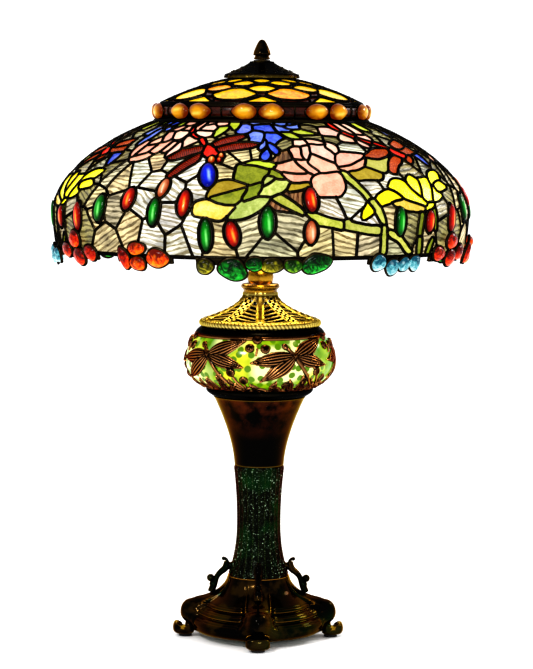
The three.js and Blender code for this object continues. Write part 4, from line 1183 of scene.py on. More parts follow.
rim_came = Builder()
clusters = {"red": Builder(), "orange": Builder(), "green": Builder(), "aqua": Builder()}
CLUSTER_OF = ["red"] * 4 + ["orange"] * 4 + ["green"] * 6 + ["aqua"] * 4
NUGGET_ORDER = list(NUGGETS)
for home, word in zip(CLUSTER_OF, RIM_STONES.split()):
    colour, *numbers = word.split(",")
    degrees, along, width, height, pointed = (float(n) for n in numbers)
    for repeat in range(REPEATS):
        half_width = width * MM_PER_DEGREE / 2 * rng.uniform(1.04, 1.12) - 1.0
        nugget(clusters[home], rim_came, rim_line, degrees + 120 * repeat, along + RIM_DROP, half_width,
               height / 2 - 0.4, pointed, NUGGET_ORDER.index(colour), 2.2 if along > 6 else 0.6)
for home, builder in clusters.items():
    slot = "amber_glass" if home == "orange" else f"{home}_glass"
    builder.make(f"rim_stones_{home}", list(NUGGETS.values()), "shade", slot, smooth=180,
                 replaces=[f"rim_jewels_{home}_{i}" for i in (1, 2, 3)])
# A strip of lead under the glass carries each cluster.
for low, high in ((52, 71), (-41, -23.5), (-17, 18.5), (29.5, 47.5)):
    for repeat in range(REPEATS):
        degrees = np.linspace(low, high, 24) + 120 * repeat
        path = rim_line.at(degrees, RIM_DROP - 2.0)
        normal = rim_line.normal(degrees, RIM_DROP - 2.0)
        rim_came.tube(path, normal, [(-5, -3.4), (-5, 0.2), (0, 0.8), (4, 0.2), (4, -3.4)])
rim_came.make("rim_came", [lead], "shade", "bronze", smooth=60)


# ---- Crown and band ----------------------------------------------------------------------------

crown_line = Surface([[r, 716.3 + 38 * (1 - (r / 136) ** 1.8)] for r in np.linspace(135, 40, 60)], inset=1.6)
crown = Cartoon(crown_line, 1, 720, 100)
# Rows of fish-scale panes: how far each row is turned, and a pane's outline in (degrees, distance up).
CROWN_PIECES = [
    (0, [(-10, 4), (-4, 14), (0, 20), (4, 14), (10, 4), (0, 2)]),
    (20, [(-16, 30), (-11, 17), (-4, 12), (4, 12), (11, 17), (16, 30), (9, 46), (0, 51), (-9, 46)]),
    (0, [(-13, 50), (-7, 41), (0, 37), (7, 41), (13, 50), (8, 60), (0, 64), (-8, 60)]),
    (20, [(-14, 72), (-7, 64), (0, 60), (7, 64), (14, 72), (8, 81), (0, 85), (-8, 81)]),
    (0, [(-15, 88), (-8, 78), (0, 74), (8, 78), (15, 88), (8, 97), (-8, 97)]),
]
ORANGE_PANES = {(1, 4), (2, 3), (1, 0), (2, 8), (3, 6), (1, 7)}
for sector in range(9):
    for row, (middle, outline) in enumerate(CROWN_PIECES):
        jitter = rng.uniform(-1, 1, 2) * (1.0, 1.2)
        kind = "amber" if (row, sector) in ORANGE_PANES else "gold"
        points = np.array(outline, float) + (middle + 40 * sector - 160, 0) + jitter
        points[:, 0] = (points[:, 0] - points[0, 0] + 180) % 360 - 180 + points[0, 0]
        crown.paint(kind, points)
crown.grow(2)
crown.fill([(40 * k - 160 + 20 * (j % 2) + 0.1, 8 + 13 * j, "brown") for k in range(9) for j in range(7)])
crown.tidy(14)
crown_came = Builder()
lay_came(crown, crown_came, 3.2, 3.2, 1.5, 1.6, spacing=4, rounds=8, blob=2.2)
edge_cames(crown_came, crown_line, ((1.5, 5.0), (crown_line.length - 1.5, 4.5)), 160, 1.4, 2.0)
lay_glass("crown_glass_panels", crown, TINTS, GLASS, "shade", ["crown_dome"], every=1)

band_line = Surface([[131, 694.6], [135, 694.6], [140, 700], [141, 705.5], [140, 711], [135, 716], [133, 716]],
                    inset=2.6)
band = Cartoon(band_line, 1, 1440, 30)
band_height = band_line.length / 2
band_stones = []
for pair in range(9):
    for way in (-1, 1):
        degrees = -2 + 40 * pair - 160 + way * 7.4
        outline = drop_outline(7.0, 10.6, 0.0)
        band.paint("gem", outline + (degrees, band_height), rounds=0)
        band_stones.append((degrees, way))
band.fill([(-2 + 40 * pair - 160 + 20 + offset, band_height, "brown") for pair in range(9) for offset in (-4, 4)])
band.tidy(20)
lay_came(band, crown_came, 2.2, 2.6, 0.9, 1.6, spacing=4, rounds=6, blob=1.6)
edge_cames(crown_came, band_line, ((2.0, 5.5), (band_line.length - 1.6, 5.0)), 200, 1.6, 2.0)
# The flange that closes the gap between the dome and the band.
FLANGE = [[127, 691.6], [138, 691.6], [143.4, 691.8], [142.8, 694.2], [138, 696.8], [127, 696.8], [127, 691.6]]
crown_came.lathe(FLANGE, 160)
crown_came.make("crown_came", [lead], "shade", "bronze", smooth=60)
lay_glass("band_glass_panels", band, TINTS, GLASS, "shade", ["crown_band"], every=1)
stones = Builder()
for degrees, way in band_stones:
    dome_stone(stones, band_line, degrees, band_height + 0.6, 10.8, 16, 7.5, lean=-90 * way, pointed=0.32, lumps=0.05)
stones.make("band_jewels", [JEWELS["amber"]], "shade", "amber_glass", smooth=180)


# ---- Metal looks -------------------------------------------------------------------------------

# On the base the mid colour's golden patches are painted sheen, and its green is a painted reflection.
bronze = bronze_look("dark_bronze", (4, 3, 2), (40, 28, 9), (214, 152, 58), 0.2, green=0.1,
                     low=0.52, high=0.59, rough=0.1, sheen=(240, 204, 96), tone_and_sheen_range=(0.52, 0.60))
# On the flare the red-brown mid colour shows only near its top, as a painted reflection.
flare_bronze = bronze_look("flare_bronze", (4, 3, 2), (74, 34, 15), (140, 110, 44), 0.15,
                           low=0.53, high=0.62, rough=0.16, sheen=(236, 204, 100), tone_and_sheen_range=(0.44, 0.60),
                           reflection_above=(0.27, 0.322))
# The column's green is a painted reflection of the glass, and its pale specks are painted glints.
leaf_bronze = bronze_look("leaf_bronze", (4, 4, 3), (8, 10, 5), (70, 90, 48), 0.3, green=0.36,
                          low=0.51, high=0.62, rough=0.16, sheen=(206, 156, 76), painted_glints=0.8)
gilt = metal_look("aged_gilt", (168, 128, 40), (92, 62, 16), 0.24, 60)
# The lid's gilt goes dark in its recesses as painted shade.
lid_gilt = bronze_look("lid_gilt", (74, 58, 10), (140, 118, 38), (238, 218, 128), 0.3,
                       low=0.49, high=0.57, rough=0.3)
brass = metal_look("satin_brass", (212, 176, 96), (150, 112, 50), 0.3, 120, brushed=(1, 1, 6))
steel = metal_look("zinc_steel", (190, 190, 186), (136, 134, 130), 0.32, 140)
cap_bronze = bronze_look("cap_bronze", (13, 10, 5), (44, 36, 12), (112, 94, 36), 0.5, low=0.53,
                         high=0.64, rough=0.3)
filigree_bronze = bronze_look("filigree_bronze", (6, 5, 3), (38, 21, 10), (190, 134, 82), 0.3,
                              low=0.512, high=0.556, rough=0.2, sheen=(200, 140, 80))

def matt_look(name, mottle, dark, pale, patches, rough, grain, bump, **values):
    """A dull surface: two colours clouded together, uneven roughness and a fine grain."""
    look = Look(name, **values)
    spot = look.coordinates()
    look.set("base", look.ramp(look.noise(spot, *mottle), dark, pale))
    look.rough_between(look.noise(spot, *patches), 0.3, 0.7, *rough)
    look.set("normal", look.bump(look.noise(spot, *grain), *bump))
    return look


black = matt_look("black_phenolic", (70, 5), (0.35, (16, 15, 15)), (0.7, (40, 38, 36)), (200, 4), (0.24, 0.5),
                  (900, 2), (0.15, 0.0003), specular=0.5)
felt = matt_look("green_felt", (700, 5, 0.8), (0.3, (24, 40, 22)), (0.7, (62, 88, 54)), (90, 2), (0.9, 1.0),
                 (1500, 4, 0.8), (0.8, 0.0006), specular=0.1)
rubber = matt_look("foot_rubber", (160, 5), (0.35, (18, 18, 18)), (0.7, (44, 42, 40)), (300, 3), (0.6, 0.9),
                   (1300, 3), (0.3, 0.0004), specular=0.3)
frost = matt_look("frosted_bulb", (26, 3), (0.35, (255, 224, 168)), (0.7, (255, 244, 214)), (300, 4), (0.3, 0.5),
                  (1200, 2), (0.2, 0.0002), coat=0.3, coat_rough=0.2)
frost.set("glow", frost.shader.inputs["Base Color"].links[0].from_socket)
frost.set("power", 1.4)
frost.material.cycles.emission_sampling = "NONE"


# ---- Cap and finial ----------------------------------------------------------------------------

def pebble(look, scale, strength, distance):
    """Hammered dimples laid over a look's own grain."""
    cell = look.cells(look.coordinates(), scale, "SMOOTH_F1")
    look.set("normal", look.bump(cell, strength, distance, after=look.bump(
        look.noise(look.coordinates(), 500, 3), 0.3, 0.0004)))


pebble(cap_bronze, 190, 0.8, 0.002)
CAP_OUT = [[50, 749.2], [50.2, 751], [49.2, 753.2], [47.4, 754.6], [40, 757.6], [31, 761.6], [24, 765], [17.5, 768.8],
           [14.5, 771], [12.6, 771.5]]
CAP_IN = [[5.2, 771.5], [5.2, 768.5], [15, 766.5], [30, 760], [46, 752], [47, 749.2]]
cap = Builder()
cap.lathe(CAP_IN + CAP_OUT[:3] + rounded(CAP_OUT[3:], 2).tolist() + [[5.2, 771.5]], 144)
# A bead round the rim and the top, and small studs on the slope.
for radius, height in ((48.4, 753.6), (15.5, 770.2)):
    cap.hoop(radius, height, 0.9)
cap_line = Surface(CAP_OUT[3:])
for k in range(30):
    dome_stone(cap, cap_line, 12 * k, 8 + 3 * (k % 2), 1.5, 1.5, 1.1, seat=-0.3)
for k in range(18):
    dome_stone(cap, cap_line, 20 * k + 10, 22, 1.3, 1.3, 0.9, seat=-0.3)
cap.make("cap_casting", [cap_bronze], "shade", "bronze", smooth=50, replaces=["heat_cap"])

FINIAL = [[0, 773.2], [9.5, 773.2], [10.6, 775], [9.4, 777.4], [9.0, 778.2], [11.3, 780.5], [11.4, 782],
          [10.4, 785.5], [8.4, 790], [6.6, 794], [4.4, 797.8], [2.2, 799.6], [0, 800]]
finial = Builder()
finial.lathe(rounded(FINIAL, 2), 96)
# Two rings of beads round its waist.
for radius, height in ((10.2, 775.0), (10.9, 779.8)):
    for x, y in circle(28) * radius:
        finial.grid((ball_grid(0.75, 6, 8) + (x, y, height))[::-1, ::-1], close_v=True)
finial.make("finial_casting", [bronze], "finial", "bronze", smooth=50, replaces=["finial"])


# ---- Bowl, filigree and lid --------------------------------------------------------------------

# The bowl's widest place and radius there, and how far its curve would run below and above it.
BOWL_WIDEST, BOWL_RADIUS, BOWL_BELOW, BOWL_ABOVE, BOWL_POWER = 374, 98.4, 46, 66, 2.2
BOWL_FOOT, BOWL_MOUTH = 32.7, 42.5  # how far below and above the widest place the glass runs


def bowl_radius(height):
    s = abs(height - BOWL_WIDEST) / (BOWL_BELOW if height < BOWL_WIDEST else BOWL_ABOVE)
    return BOWL_RADIUS * (1 - min(s, 1) ** BOWL_POWER) ** (1 / BOWL_POWER)


lower = np.linspace(math.acos(BOWL_FOOT / BOWL_BELOW), math.pi / 2, 24)
upper = np.linspace(0, math.asin(BOWL_MOUTH / BOWL_ABOVE), 36)[1:]
bowl_heights = np.r_[BOWL_WIDEST - BOWL_BELOW * np.cos(lower), BOWL_WIDEST + BOWL_ABOVE * np.sin(upper)]
bowl_line = Surface([[bowl_radius(h), h] for h in bowl_heights])

bowl_glass = Look("dappled_glass", coat=0.03, coat_rough=0.06, specular=0.2)
spot = bowl_glass.coordinates()
broad = bowl_glass.noise(spot, 13, 3)
field = bowl_glass.ramp(broad, (0.36, (218, 214, 50)), (0.46, (150, 180, 16)), (0.58, (48, 130, 8)))
pale = bowl_glass.ramp(bowl_glass.noise(spot, 9, 2), (0.52, 0.0), (0.60, 1.0))
field = bowl_glass.mix(pale, field, (252, 246, 176))
dot_map = bowl_glass.node("TexVoronoi", voronoi_dimensions="2D", feature="F1")
bowl_glass.link(bowl_glass.node("UVMap").outputs[0], dot_map.inputs["Vector"])
dot_map.inputs["Scale"].default_value = 1.0
dot_map.inputs["Randomness"].default_value = 0.62
wobbled = bowl_glass.math("ADD", dot_map.outputs["Distance"],
                          bowl_glass.math("MULTIPLY", bowl_glass.noise(spot, 150, 2), 0.16))
dots = bowl_glass.ramp(wobbled, (0.38, 1.0), (0.44, 0.0))
somewhere = bowl_glass.ramp(bowl_glass.noise(spot, 11, 2), (0.36, 0.35), (0.46, 1.0))
glow = bowl_glass.mix(bowl_glass.math("MULTIPLY", dots, somewhere), field, (92, 132, 6))
bowl_glass.lit_from_behind(glow, 0.92, BOWL_REFLECTS)
bowl_glass.rough_between(broad, 0.3, 0.7, 0.1, 0.2)
bowl_glass.set("normal", bowl_glass.bump(bowl_glass.noise(spot, 60, 3), 0.2, 0.001))

bowl = Builder()
outer = [[bowl_radius(h), h] for h in bowl_heights]
inner = [[bowl_radius(h) - 3, h + (2.4 if h < 345 else 0)] for h in bowl_heights[::-3]]
shell = np.array([[45, 341.5]] + outer + [[66.5, 416.5], [65, 414.5]] + inner[1:] + [[45, 344.5]])
theta = np.linspace(0, 2 * np.pi, 161)
along = np.r_[0, np.cumsum(np.hypot(*np.diff(shell, axis=0).T))]
th, rad = np.meshgrid(theta, shell[:, 0], indexing="ij")
DOT_PITCH = 13.5
uv = np.stack(np.meshgrid(theta * 98 / DOT_PITCH, along / DOT_PITCH, indexing="ij"), -1)
bowl.grid(np.stack([rad * np.cos(th), rad * np.sin(th), np.broadcast_to(shell[:, 1], th.shape)], -1), uv)
bowl.make("bowl_shell", [bowl_glass], "stand", "bowl_glass", smooth=60, replaces=["glass_bowl"])


class Relief:
    """Shapes on a turned surface whose height above it comes from the distance to their edges."""

    def __init__(self, surface, period):
        self.surface, self.period = surface, period
        self.z = surface.points[:, 1]
        self.parts = []

    def along(self, z):
        return float(np.interp(z, self.z, self.surface.along))

    def add(self, start, end, width, end_width=None, swell=0.0, veins=0.0, top=2.0):
        """A bar from one (degrees, height) to another, which may swell to a leaf or a wing."""
        self.parts.append((start, end, width, width if end_width is None else end_width, swell, veins, top))

    def heights(self, gx, gy):
        per = self.surface.per_degree(gy)
        lift = np.full(gx.shape, -1.2)
        for start, end, width, end_width, swell, veins, top in self.parts:
            y0, y1 = self.along(start[1]), self.along(end[1])
            scale = float(self.surface.per_degree((y0 + y1) / 2))
            across = ((gx - start[0] + self.period / 2) % self.period - self.period / 2) * per
            dx, dy = (end[0] - start[0]) * scale, y1 - y0
            for shift in (0, -self.period, self.period):
                ax = across - shift * per
                length = math.hypot(dx, dy) + 1e-6
                t = np.clip((ax * dx + (gy - y0) * dy) / length ** 2, 0, 1)
                away = np.hypot(ax - t * dx, gy - y0 - t * dy)
                half = width + (end_width - width) * t + swell * np.sin(math.pi * t ** 0.8)
                inside = 1 - away / np.maximum(half, 0.05)
                near = np.clip(inside, 0, 1)
                shape = top * np.sqrt(np.clip(2 * near - near ** 2, 0, 1))
                if veins:
                    signed = (ax * dy - (gy - y0) * dx) / length
                    shape = shape * (1 - veins * (0.5 + 0.5 * np.cos(signed / np.maximum(half, 0.5) * 17.0)))
                    shape = shape + (away < 0.7) * 0.35
                shape = np.where(inside > 0, shape, np.maximum(inside * 4, -1.2))
                lift = np.maximum(lift, shape)
        return lift

    def build(self, builder, columns, rows, seat):
        """Adds the raised parts of the relief, and a border one cell wide, to a builder."""
        degrees = np.arange(columns) * 360 / columns - 180
        along = np.linspace(0, self.surface.length, rows)
        gx, gy = np.meshgrid(degrees, along, indexing="ij")
        lift = self.heights(gx, gy)
        points = self.surface.at(gx, gy, np.maximum(lift, -1.0) + seat)
        keep = lift > 0
        keep = keep | np.roll(keep, -1, 0)
        keep = keep[:, :-1] | keep[:, 1:]
        used, quads = np.unique(wrapped_quads(columns, rows)[keep], return_inverse=True)
        quads = quads.reshape(-1, 4) + builder.count
        builder.add_points(points.reshape(-1, 3)[used])
        builder.faces.append(quads)
        builder.looks.append(np.zeros(len(quads), int))


# One fifth of the overlay. First a dragonfly: its head, body and tail, then its four wings.
filigree = Relief(bowl_line, 72)
thorax = (28, 388)
filigree.add((20.5, 401), (21, 400), 3.8, top=3.0)
filigree.add((22, 399), thorax, 2.0, 3.4, top=2.6)
filigree.add(thorax, (50, 345), 3.0, 1.5, top=2.4)
for tip, swell in (((-7, 380), 8.4), ((2, 356), 9.4), ((58, 407), 9.6), ((59, 374), 7.6)):
    filigree.add(thorax, tip, 1.8, 0.9, swell, veins=0.5, top=2.8)
# Berries: (degrees, height) and radius.
for middle, radius in (((-2.3, 409), 6.0), ((-8.2, 399), 5.8), ((4.2, 398), 6.0), ((-23, 367), 5.8),
                       ((-13, 357), 5.8), ((-30, 381), 3.2)):
    filigree.add(middle, (middle[0] + 0.1, middle[1]), radius, top=3.0)
# Stems.
for start, end in (((-34, 384), (-23, 367)), ((-23, 367), (-14, 345)), ((-14, 345), (-22, 352)),
                   ((-2.3, 409), (-1, 416)), ((-2, 398), (-3, 390)), ((24, 350), (20, 342)),
                   ((-13.5, 358), (-12, 344)), ((50, 345), (58, 342))):
    filigree.add(start, end, 1.3, 1.1, top=1.6)
# Borders under and over the pattern.
for k in range(8):
    filigree.add((9 * k - 36, 342), (9 * k - 27, 342 + 1.5 * (k % 2)), 2.8, top=1.6)
    filigree.add((9 * k - 36, 410.5), (9 * k - 27, 410.5), 2.6, top=1.5)
# Leaves: start, end, width at each, swell between them, depth of veins and height.
for start, end, width, end_width, swell, veins, top in (
        ((24, 350), (24.4, 350), 7.6, 7.6, 0.0, 0.3, 2.0), ((36, 343), (41, 364), 1.0, 0.6, 4.6, 0.35, 2.0),
        ((-22, 343), (-26, 358), 1.0, 0.6, 4.2, 0.35, 2.0), ((6, 343), (-4, 347), 0.9, 0.6, 2.0, 0.0, 2.0),
        ((-34, 384), (-30, 398), 0.8, 0.5, 2.8, 0.3, 2.0), ((-36, 362), (-31, 346), 1.0, 0.7, 3.6, 0.35, 2.0),
        ((10, 343), (14, 356), 0.8, 0.5, 4.2, 0.3, 2.0), ((0, 342), (-9, 352), 1.0, 0.6, 4.0, 0.3, 2.3),
        ((30, 342), (24, 358), 1.0, 0.6, 5.0, 0.3, 2.3), ((44, 342), (52, 352), 1.0, 0.6, 4.4, 0.3, 2.3),
        ((-30, 343), (-36, 356), 1.0, 0.6, 4.6, 0.3, 2.3), ((-16, 343), (-8, 348), 1.0, 0.6, 3.4, 0.3, 2.3),
        ((20, 343), (9, 349), 1.0, 0.6, 3.4, 0.3, 2.3)):
    filigree.add(start, end, width, end_width, swell, veins, top)
overlay = Builder()
filigree.build(overlay, 900, 120, seat=0.7)
overlay.make("filigree", [filigree_bronze], "stand", "bronze", smooth=70, replaces=["dragonfly_overlay"])

SEAT = [[BORE, 336], [53, 336], [54, 331], [56, 327.6], [58.5, 327.3], [61, 327.3], [63.5, 328], [66, 329.5],
        [70, 332.5], [71.6, 335], [71.5, 336.5], [70.4, 338.4], [68, 341], [BORE, 341], [BORE, 336]]
seat = Builder()
seat.lathe(SEAT, 144)
for radius, height in ((69.3, 333.0), (70.9, 336.4)):
    seat.hoop(radius, height, 0.8)
seat.make("bowl_seat_casting", [lead], "stand", "bronze", smooth=45, replaces=["bowl_seat"])
# The gallery's skirt reaches down over the bowl's shoulder: part fitter, part painted shade under the lid.
GALLERY = [[66.8, 417], [79.6, 417.1], [82.4, 414.6], [84.8, 411.8], [86.2, 412], [85.8, 413.4], [83.4, 416.4],
           [80.4, 418.8], [75, 420.4], [70, 421], [69, 422], [70, 423], [70, 425], [68.6, 427], [66, 428], [60, 428],
           [60, 420], [66.8, 418.6], [66.8, 417]]
turning("gallery_casting", GALLERY, 120, lead, "bronze", 40, "gallery_ring")


LID_TOP, LID_HEIGHT = 466, 36


def lid_radius(z):
    return 23 + 55 * ((LID_TOP - z) / LID_HEIGHT) ** 2


lid_heights = LID_TOP - LID_HEIGHT * np.sqrt(np.linspace(1, 0, 70))
lid_line = Surface([[lid_radius(z), z] for z in lid_heights], inset=0.9)
columns, rows = 900, 84
degrees = np.arange(columns) * 360 / columns
along = np.linspace(0, lid_line.length, rows)
gx, gy = np.meshgrid(degrees, along, indexing="ij")
per = lid_line.per_degree(gy)
from_spine = (gx + 36) % 72 - 36
from_lattice = gx % 72 - 36
spine, lattice = np.abs(from_spine) * per, np.abs(from_lattice) * per
lift = 1.1 * np.exp(-(spine / 4.0) ** 4)
lift += 0.5 * np.exp(-((np.abs(lattice) - 7.0) / 1.1) ** 2)
lift += 0.7 * (np.exp(-((gy - 2) / 1.8) ** 2) + np.exp(-((gy - lid_line.length + 2) / 1.8) ** 2))
slant = (gy - 0.42 * spine) % 10.6 / 10.6
barred = (spine > 5.2) & (lattice > 8.4) & (gy > 6) & (gy < lid_line.length - 7)
bar_cut = barred & (slant > 0.5)
lift += np.where(barred, 1.1 * np.sin(np.clip(slant / 0.5, 0, 1) * math.pi), 0)
weave = (gy / 9.4, lattice / 9.4 * np.sign(from_lattice))
diamond = np.abs((weave[0] + weave[1]) % 1 - 0.5) + np.abs((weave[0] - weave[1]) % 1 - 0.5)
lattice_cut = (lattice < 6.0) & (diamond < 0.5) & (gy > 5) & (gy < lid_line.length - 6)
# A leaf at the foot of each spine.
lift += 1.5 * np.exp(-(((from_spine * per) / 4.6) ** 2 + ((gy - 7) / 4.2) ** 2))
points = lid_line.at(gx, gy, lift)
inner_points = lid_line.at(gx, gy, -2.2)
keep = ~(bar_cut | lattice_cut)
keep = keep[:, :-1] & keep[:, 1:]
keep = keep & np.roll(keep, -1, 0)
quads = wrapped_quads(columns, rows)
lid = Builder()
start = lid.add_points(points.reshape(-1, 3))
under = lid.add_points(inner_points.reshape(-1, 3))
kept = quads[keep]
lid.faces += [kept + start, kept[:, ::-1] + under]
walls = []
for axis, way, a, b in ((0, 1, 0, 3), (0, -1, 2, 1), (1, 1, 1, 0), (1, -1, 3, 2)):
    beside = np.roll(keep, way, axis)
    if axis == 1:
        beside[:, 0 if way == 1 else -1] = False
    edge = keep & ~beside
    chosen = quads[edge]
    over = chosen[:, (a, b)]
    walls.append(np.hstack([over, over[:, ::-1] + under - start]))
lid.faces.append(np.concatenate(walls) + start)
# The top is gilt; the underside and the walls of the openings take the dark came look, as painted shade.
dark = sum(len(block) for block in lid.faces) - len(kept)
lid.looks.append(np.r_[np.zeros(len(kept), int), np.ones(dark, int)])
lid.make("lid_casting", [lid_gilt, lead], "stand", "gilt", smooth=50, replaces=["pierced_lid"])

# The rope round the lid: a ring whose section swells in slanting strands.
rope = Builder()
strands, around = 92, 736
theta = np.linspace(0, 2 * np.pi, around, endpoint=False)
phi = np.linspace(0, 2 * np.pi, 20, endpoint=False)
th, ph = np.meshgrid(theta, phi, indexing="ij")
swell = 4.6 * (0.80 + 0.2 * np.abs(np.sin(strands * th / 2 + ph)) ** 0.8)
radius = 77.0 + swell * np.cos(ph)
rope.grid(np.stack([radius * np.cos(th), radius * np.sin(th), 425.1 + swell * np.sin(ph)], -1),
          close_u=True, close_v=True)
rope.make("lid_rope", [lid_gilt], "stand", "gilt", smooth=80, replaces=["rope_edging"])

COLLAR = [[BORE, 466.3], [22.5, 466.3], [22.6, 468.5], [23.4, 470], [25.2, 471.4], [25.9, 473.2], [25.2, 475.4],
          [23.5, 477], [20, 477], [17.5, 476.2], [BORE, 476.2], [BORE, 466.3]]
turning("collar_turning", COLLAR, 96, gilt, "gilt", 50, "lid_collar")
NECK = [[17.6 * math.cos(a), 486 + 17.6 * math.sin(a)] for a in np.linspace(-0.5163, 0.606, 24)]
turning("neck_ball_turning", [[5.2, 477.3]] + NECK + [[5.2, 496], [5.2, 477.3]], 96, gilt, "gilt", 50, "neck_ball")


# ---- Column ------------------------------------------------------------------------------------

SLEEVE_FOOT, WAIST, SLEEVE_TOP, FLARE_TOP = 84.3, 157, 233, 327
COLUMN_WALL = 3


def sleeve_radius(z):
    return 28.9 + (12.1 * ((WAIST - z) / 73) ** 2.3 if z < WAIST else 4.8 * ((z - WAIST) / 76) ** 2)


sleeve_line = Surface([[sleeve_radius(z), z] for z in np.linspace(SLEEVE_FOOT, SLEEVE_TOP, 120)], inset=0.4)
columns, rows = 480, 330
gx, gy = np.meshgrid(np.arange(columns) * 360 / columns, np.linspace(0, sleeve_line.length, rows), indexing="ij")
# Overlapping pointed leaves in staggered rows, each with a midrib and slanting veins.
LEAVES, PITCH = 12, 11.5
row = gy / PITCH
height = np.zeros(gx.shape)
for offset in (0, 1):
    r = np.floor(row - offset * 0.5) + offset * 0.5
    up = row - r
    column = gx / 360 * LEAVES + 0.5 * offset
    across = (column + 0.5) % 1 - 0.5
    half = 0.52 * np.sin(np.clip(up, 0, 1) * math.pi) ** 0.6 * (1 - 0.35 * up)
    inside = np.clip(1 - np.abs(across) / np.maximum(half, 1e-3), 0, 1)
    rib = np.exp(-(across / 0.05) ** 2)
    veins = 0.5 + 0.5 * np.cos((up * 7 - np.abs(across) * 9) * math.pi)
    height = np.maximum(height, inside ** 0.5 * (0.5 + 0.22 * veins) + rib * 0.28 * (inside > 0))
height *= np.clip(np.minimum(gy, sleeve_line.length - gy) / 3, 0, 1)
sleeve = Builder()
sleeve.grid(sleeve_line.at(gx, gy, height * 1.7 - 0.7), close_u=True)
# Its inside, and the ring that closes each end.
foot_radius, top_radius = sleeve_radius(SLEEVE_FOOT), sleeve_radius(SLEEVE_TOP)
sleeve.lathe([[sleeve_radius(z) - COLUMN_WALL, z] for z in np.linspace(SLEEVE_TOP, SLEEVE_FOOT, 24)], 120)
sleeve.lathe([[foot_radius - COLUMN_WALL, SLEEVE_FOOT], [foot_radius - 0.7, SLEEVE_FOOT]], 120)
sleeve.lathe([[top_radius - 0.7, SLEEVE_TOP], [top_radius - COLUMN_WALL, SLEEVE_TOP]], 120)
sleeve.make("sleeve_casting", [leaf_bronze], "stand", "bronze", smooth=60, replaces=["column_sleeve"])


def flare_radius(z):
    return 33 + 28.6 * ((z - SLEEVE_TOP) / 94) ** 1.6


FLARE_FOOT = SLEEVE_TOP + 0.3
flare_outside = [[flare_radius(z), z] for z in np.linspace(FLARE_FOOT, FLARE_TOP, 60)]
flare_inside = [[flare_radius(z) - COLUMN_WALL, z] for z in np.linspace(FLARE_TOP, FLARE_FOOT, 20)]
FLARE = (
    [flare_inside[-1], [flare_radius(FLARE_FOOT) - 0.6, FLARE_FOOT]] + flare_outside[1:-2]
    + [[61.2, 325], [61.6, 326.2], [60.8, FLARE_TOP]] + flare_inside)
turning("flare_spinning", FLARE, 160, flare_bronze, "bronze", 50, "column_flare")


# ---- Base --------------------------------------------------------------------------------------

VALLEY = [[41, 84], [44, 74], [50, 64], [60, 55.5], [68, 49.5], [71, 45], [70, 42], [77, 38.5], [80, 34.5],
          [79, 31.5], [86, 27.5], [89.5, 21], [88.5, 14.5], [85, 11]]
KNEE = [[41, 84], [44.5, 75], [51, 67], [60, 60.5], [72, 55.5], [84, 52.5], [93.5, 47.5], [99.5, 39], [100.5, 30],
        [97.5, 21], [93, 15], [91, 11]]
VALLEY_CAVITY = [[82, 11], [74, 24], [52, 46], [39, 62], [30, 76], [BORE, 79]]
KNEE_CAVITY = [[84, 11], [92, 26], [68, 46], [44, 62], [30, 76], [BORE, 79]]


def through(profile):
    """A smooth line that passes through every point of a profile."""
    p = np.array(profile, float)
    p = np.vstack([2 * p[0] - p[1], p, 2 * p[-1] - p[-2]])
    t = np.linspace(0, 1, 10, endpoint=False)[:, None]
    line = []
    for a, b, c, d in zip(p, p[1:], p[2:], p[3:]):
        line.append(b + 0.5 * t * (c - a + t * (2 * a - 5 * b + 4 * c - d + t * (3 * (b - c) + d - a))))
    return np.vstack(line + [p[-2:-1]])


def even(profile, count):
    """The same line as evenly spaced points."""
    line = through(profile)
    along = np.r_[0, np.cumsum(np.hypot(*np.diff(line, axis=0).T))]
    at = np.linspace(0, along[-1], count)
    return np.stack([np.interp(at, along, line[:, i]) for i in (0, 1)], 1)


# The section is VALLEY between the knees and KNEE on them, and share says how much of it is knee.
columns, rows = 720, 150
angle = np.arange(columns) * 2 * math.pi / columns
share = ((1 + np.cos(4 * angle)) / 2) ** 5.0
valley, knee = even(VALLEY, rows), even(KNEE, rows)
section = valley[None] * (1 - share)[:, None, None] + knee[None] * share[:, None, None]
step = np.gradient(section, axis=1)
normal = np.stack([-step[..., 1], step[..., 0]], -1)
normal /= np.linalg.norm(normal, axis=-1)[..., None]
at = np.linspace(0, 1, rows)[None]
fade = (1 - share)[:, None]
steps = np.zeros(section.shape[:2])
for middle, wide, deep in ((0.47, 0.010, 0.9), (0.62, 0.010, 0.9), (0.80, 0.012, 0.8)):
    steps -= deep * np.exp(-((at - middle) / wide) ** 2) * fade
# A raised vein runs down each knee, and a leaf edge outlines it.
off_knee = ((np.degrees(angle) + 45) % 90 - 45)[:, None]
steps += 0.9 * np.exp(-(off_knee / 2.2) ** 2) * np.exp(-((at - 0.42) / 0.2) ** 2)
crease = (np.abs(off_knee) - 14 - 15 * np.abs(at - 0.62)) / 1.5
steps -= 2.6 * np.exp(-crease ** 2) * np.exp(-((at - 0.5) / 0.30) ** 2)
steps += 1.5 * np.exp(-((crease + 2) / 1.3) ** 2) * np.exp(-((at - 0.5) / 0.26) ** 2)
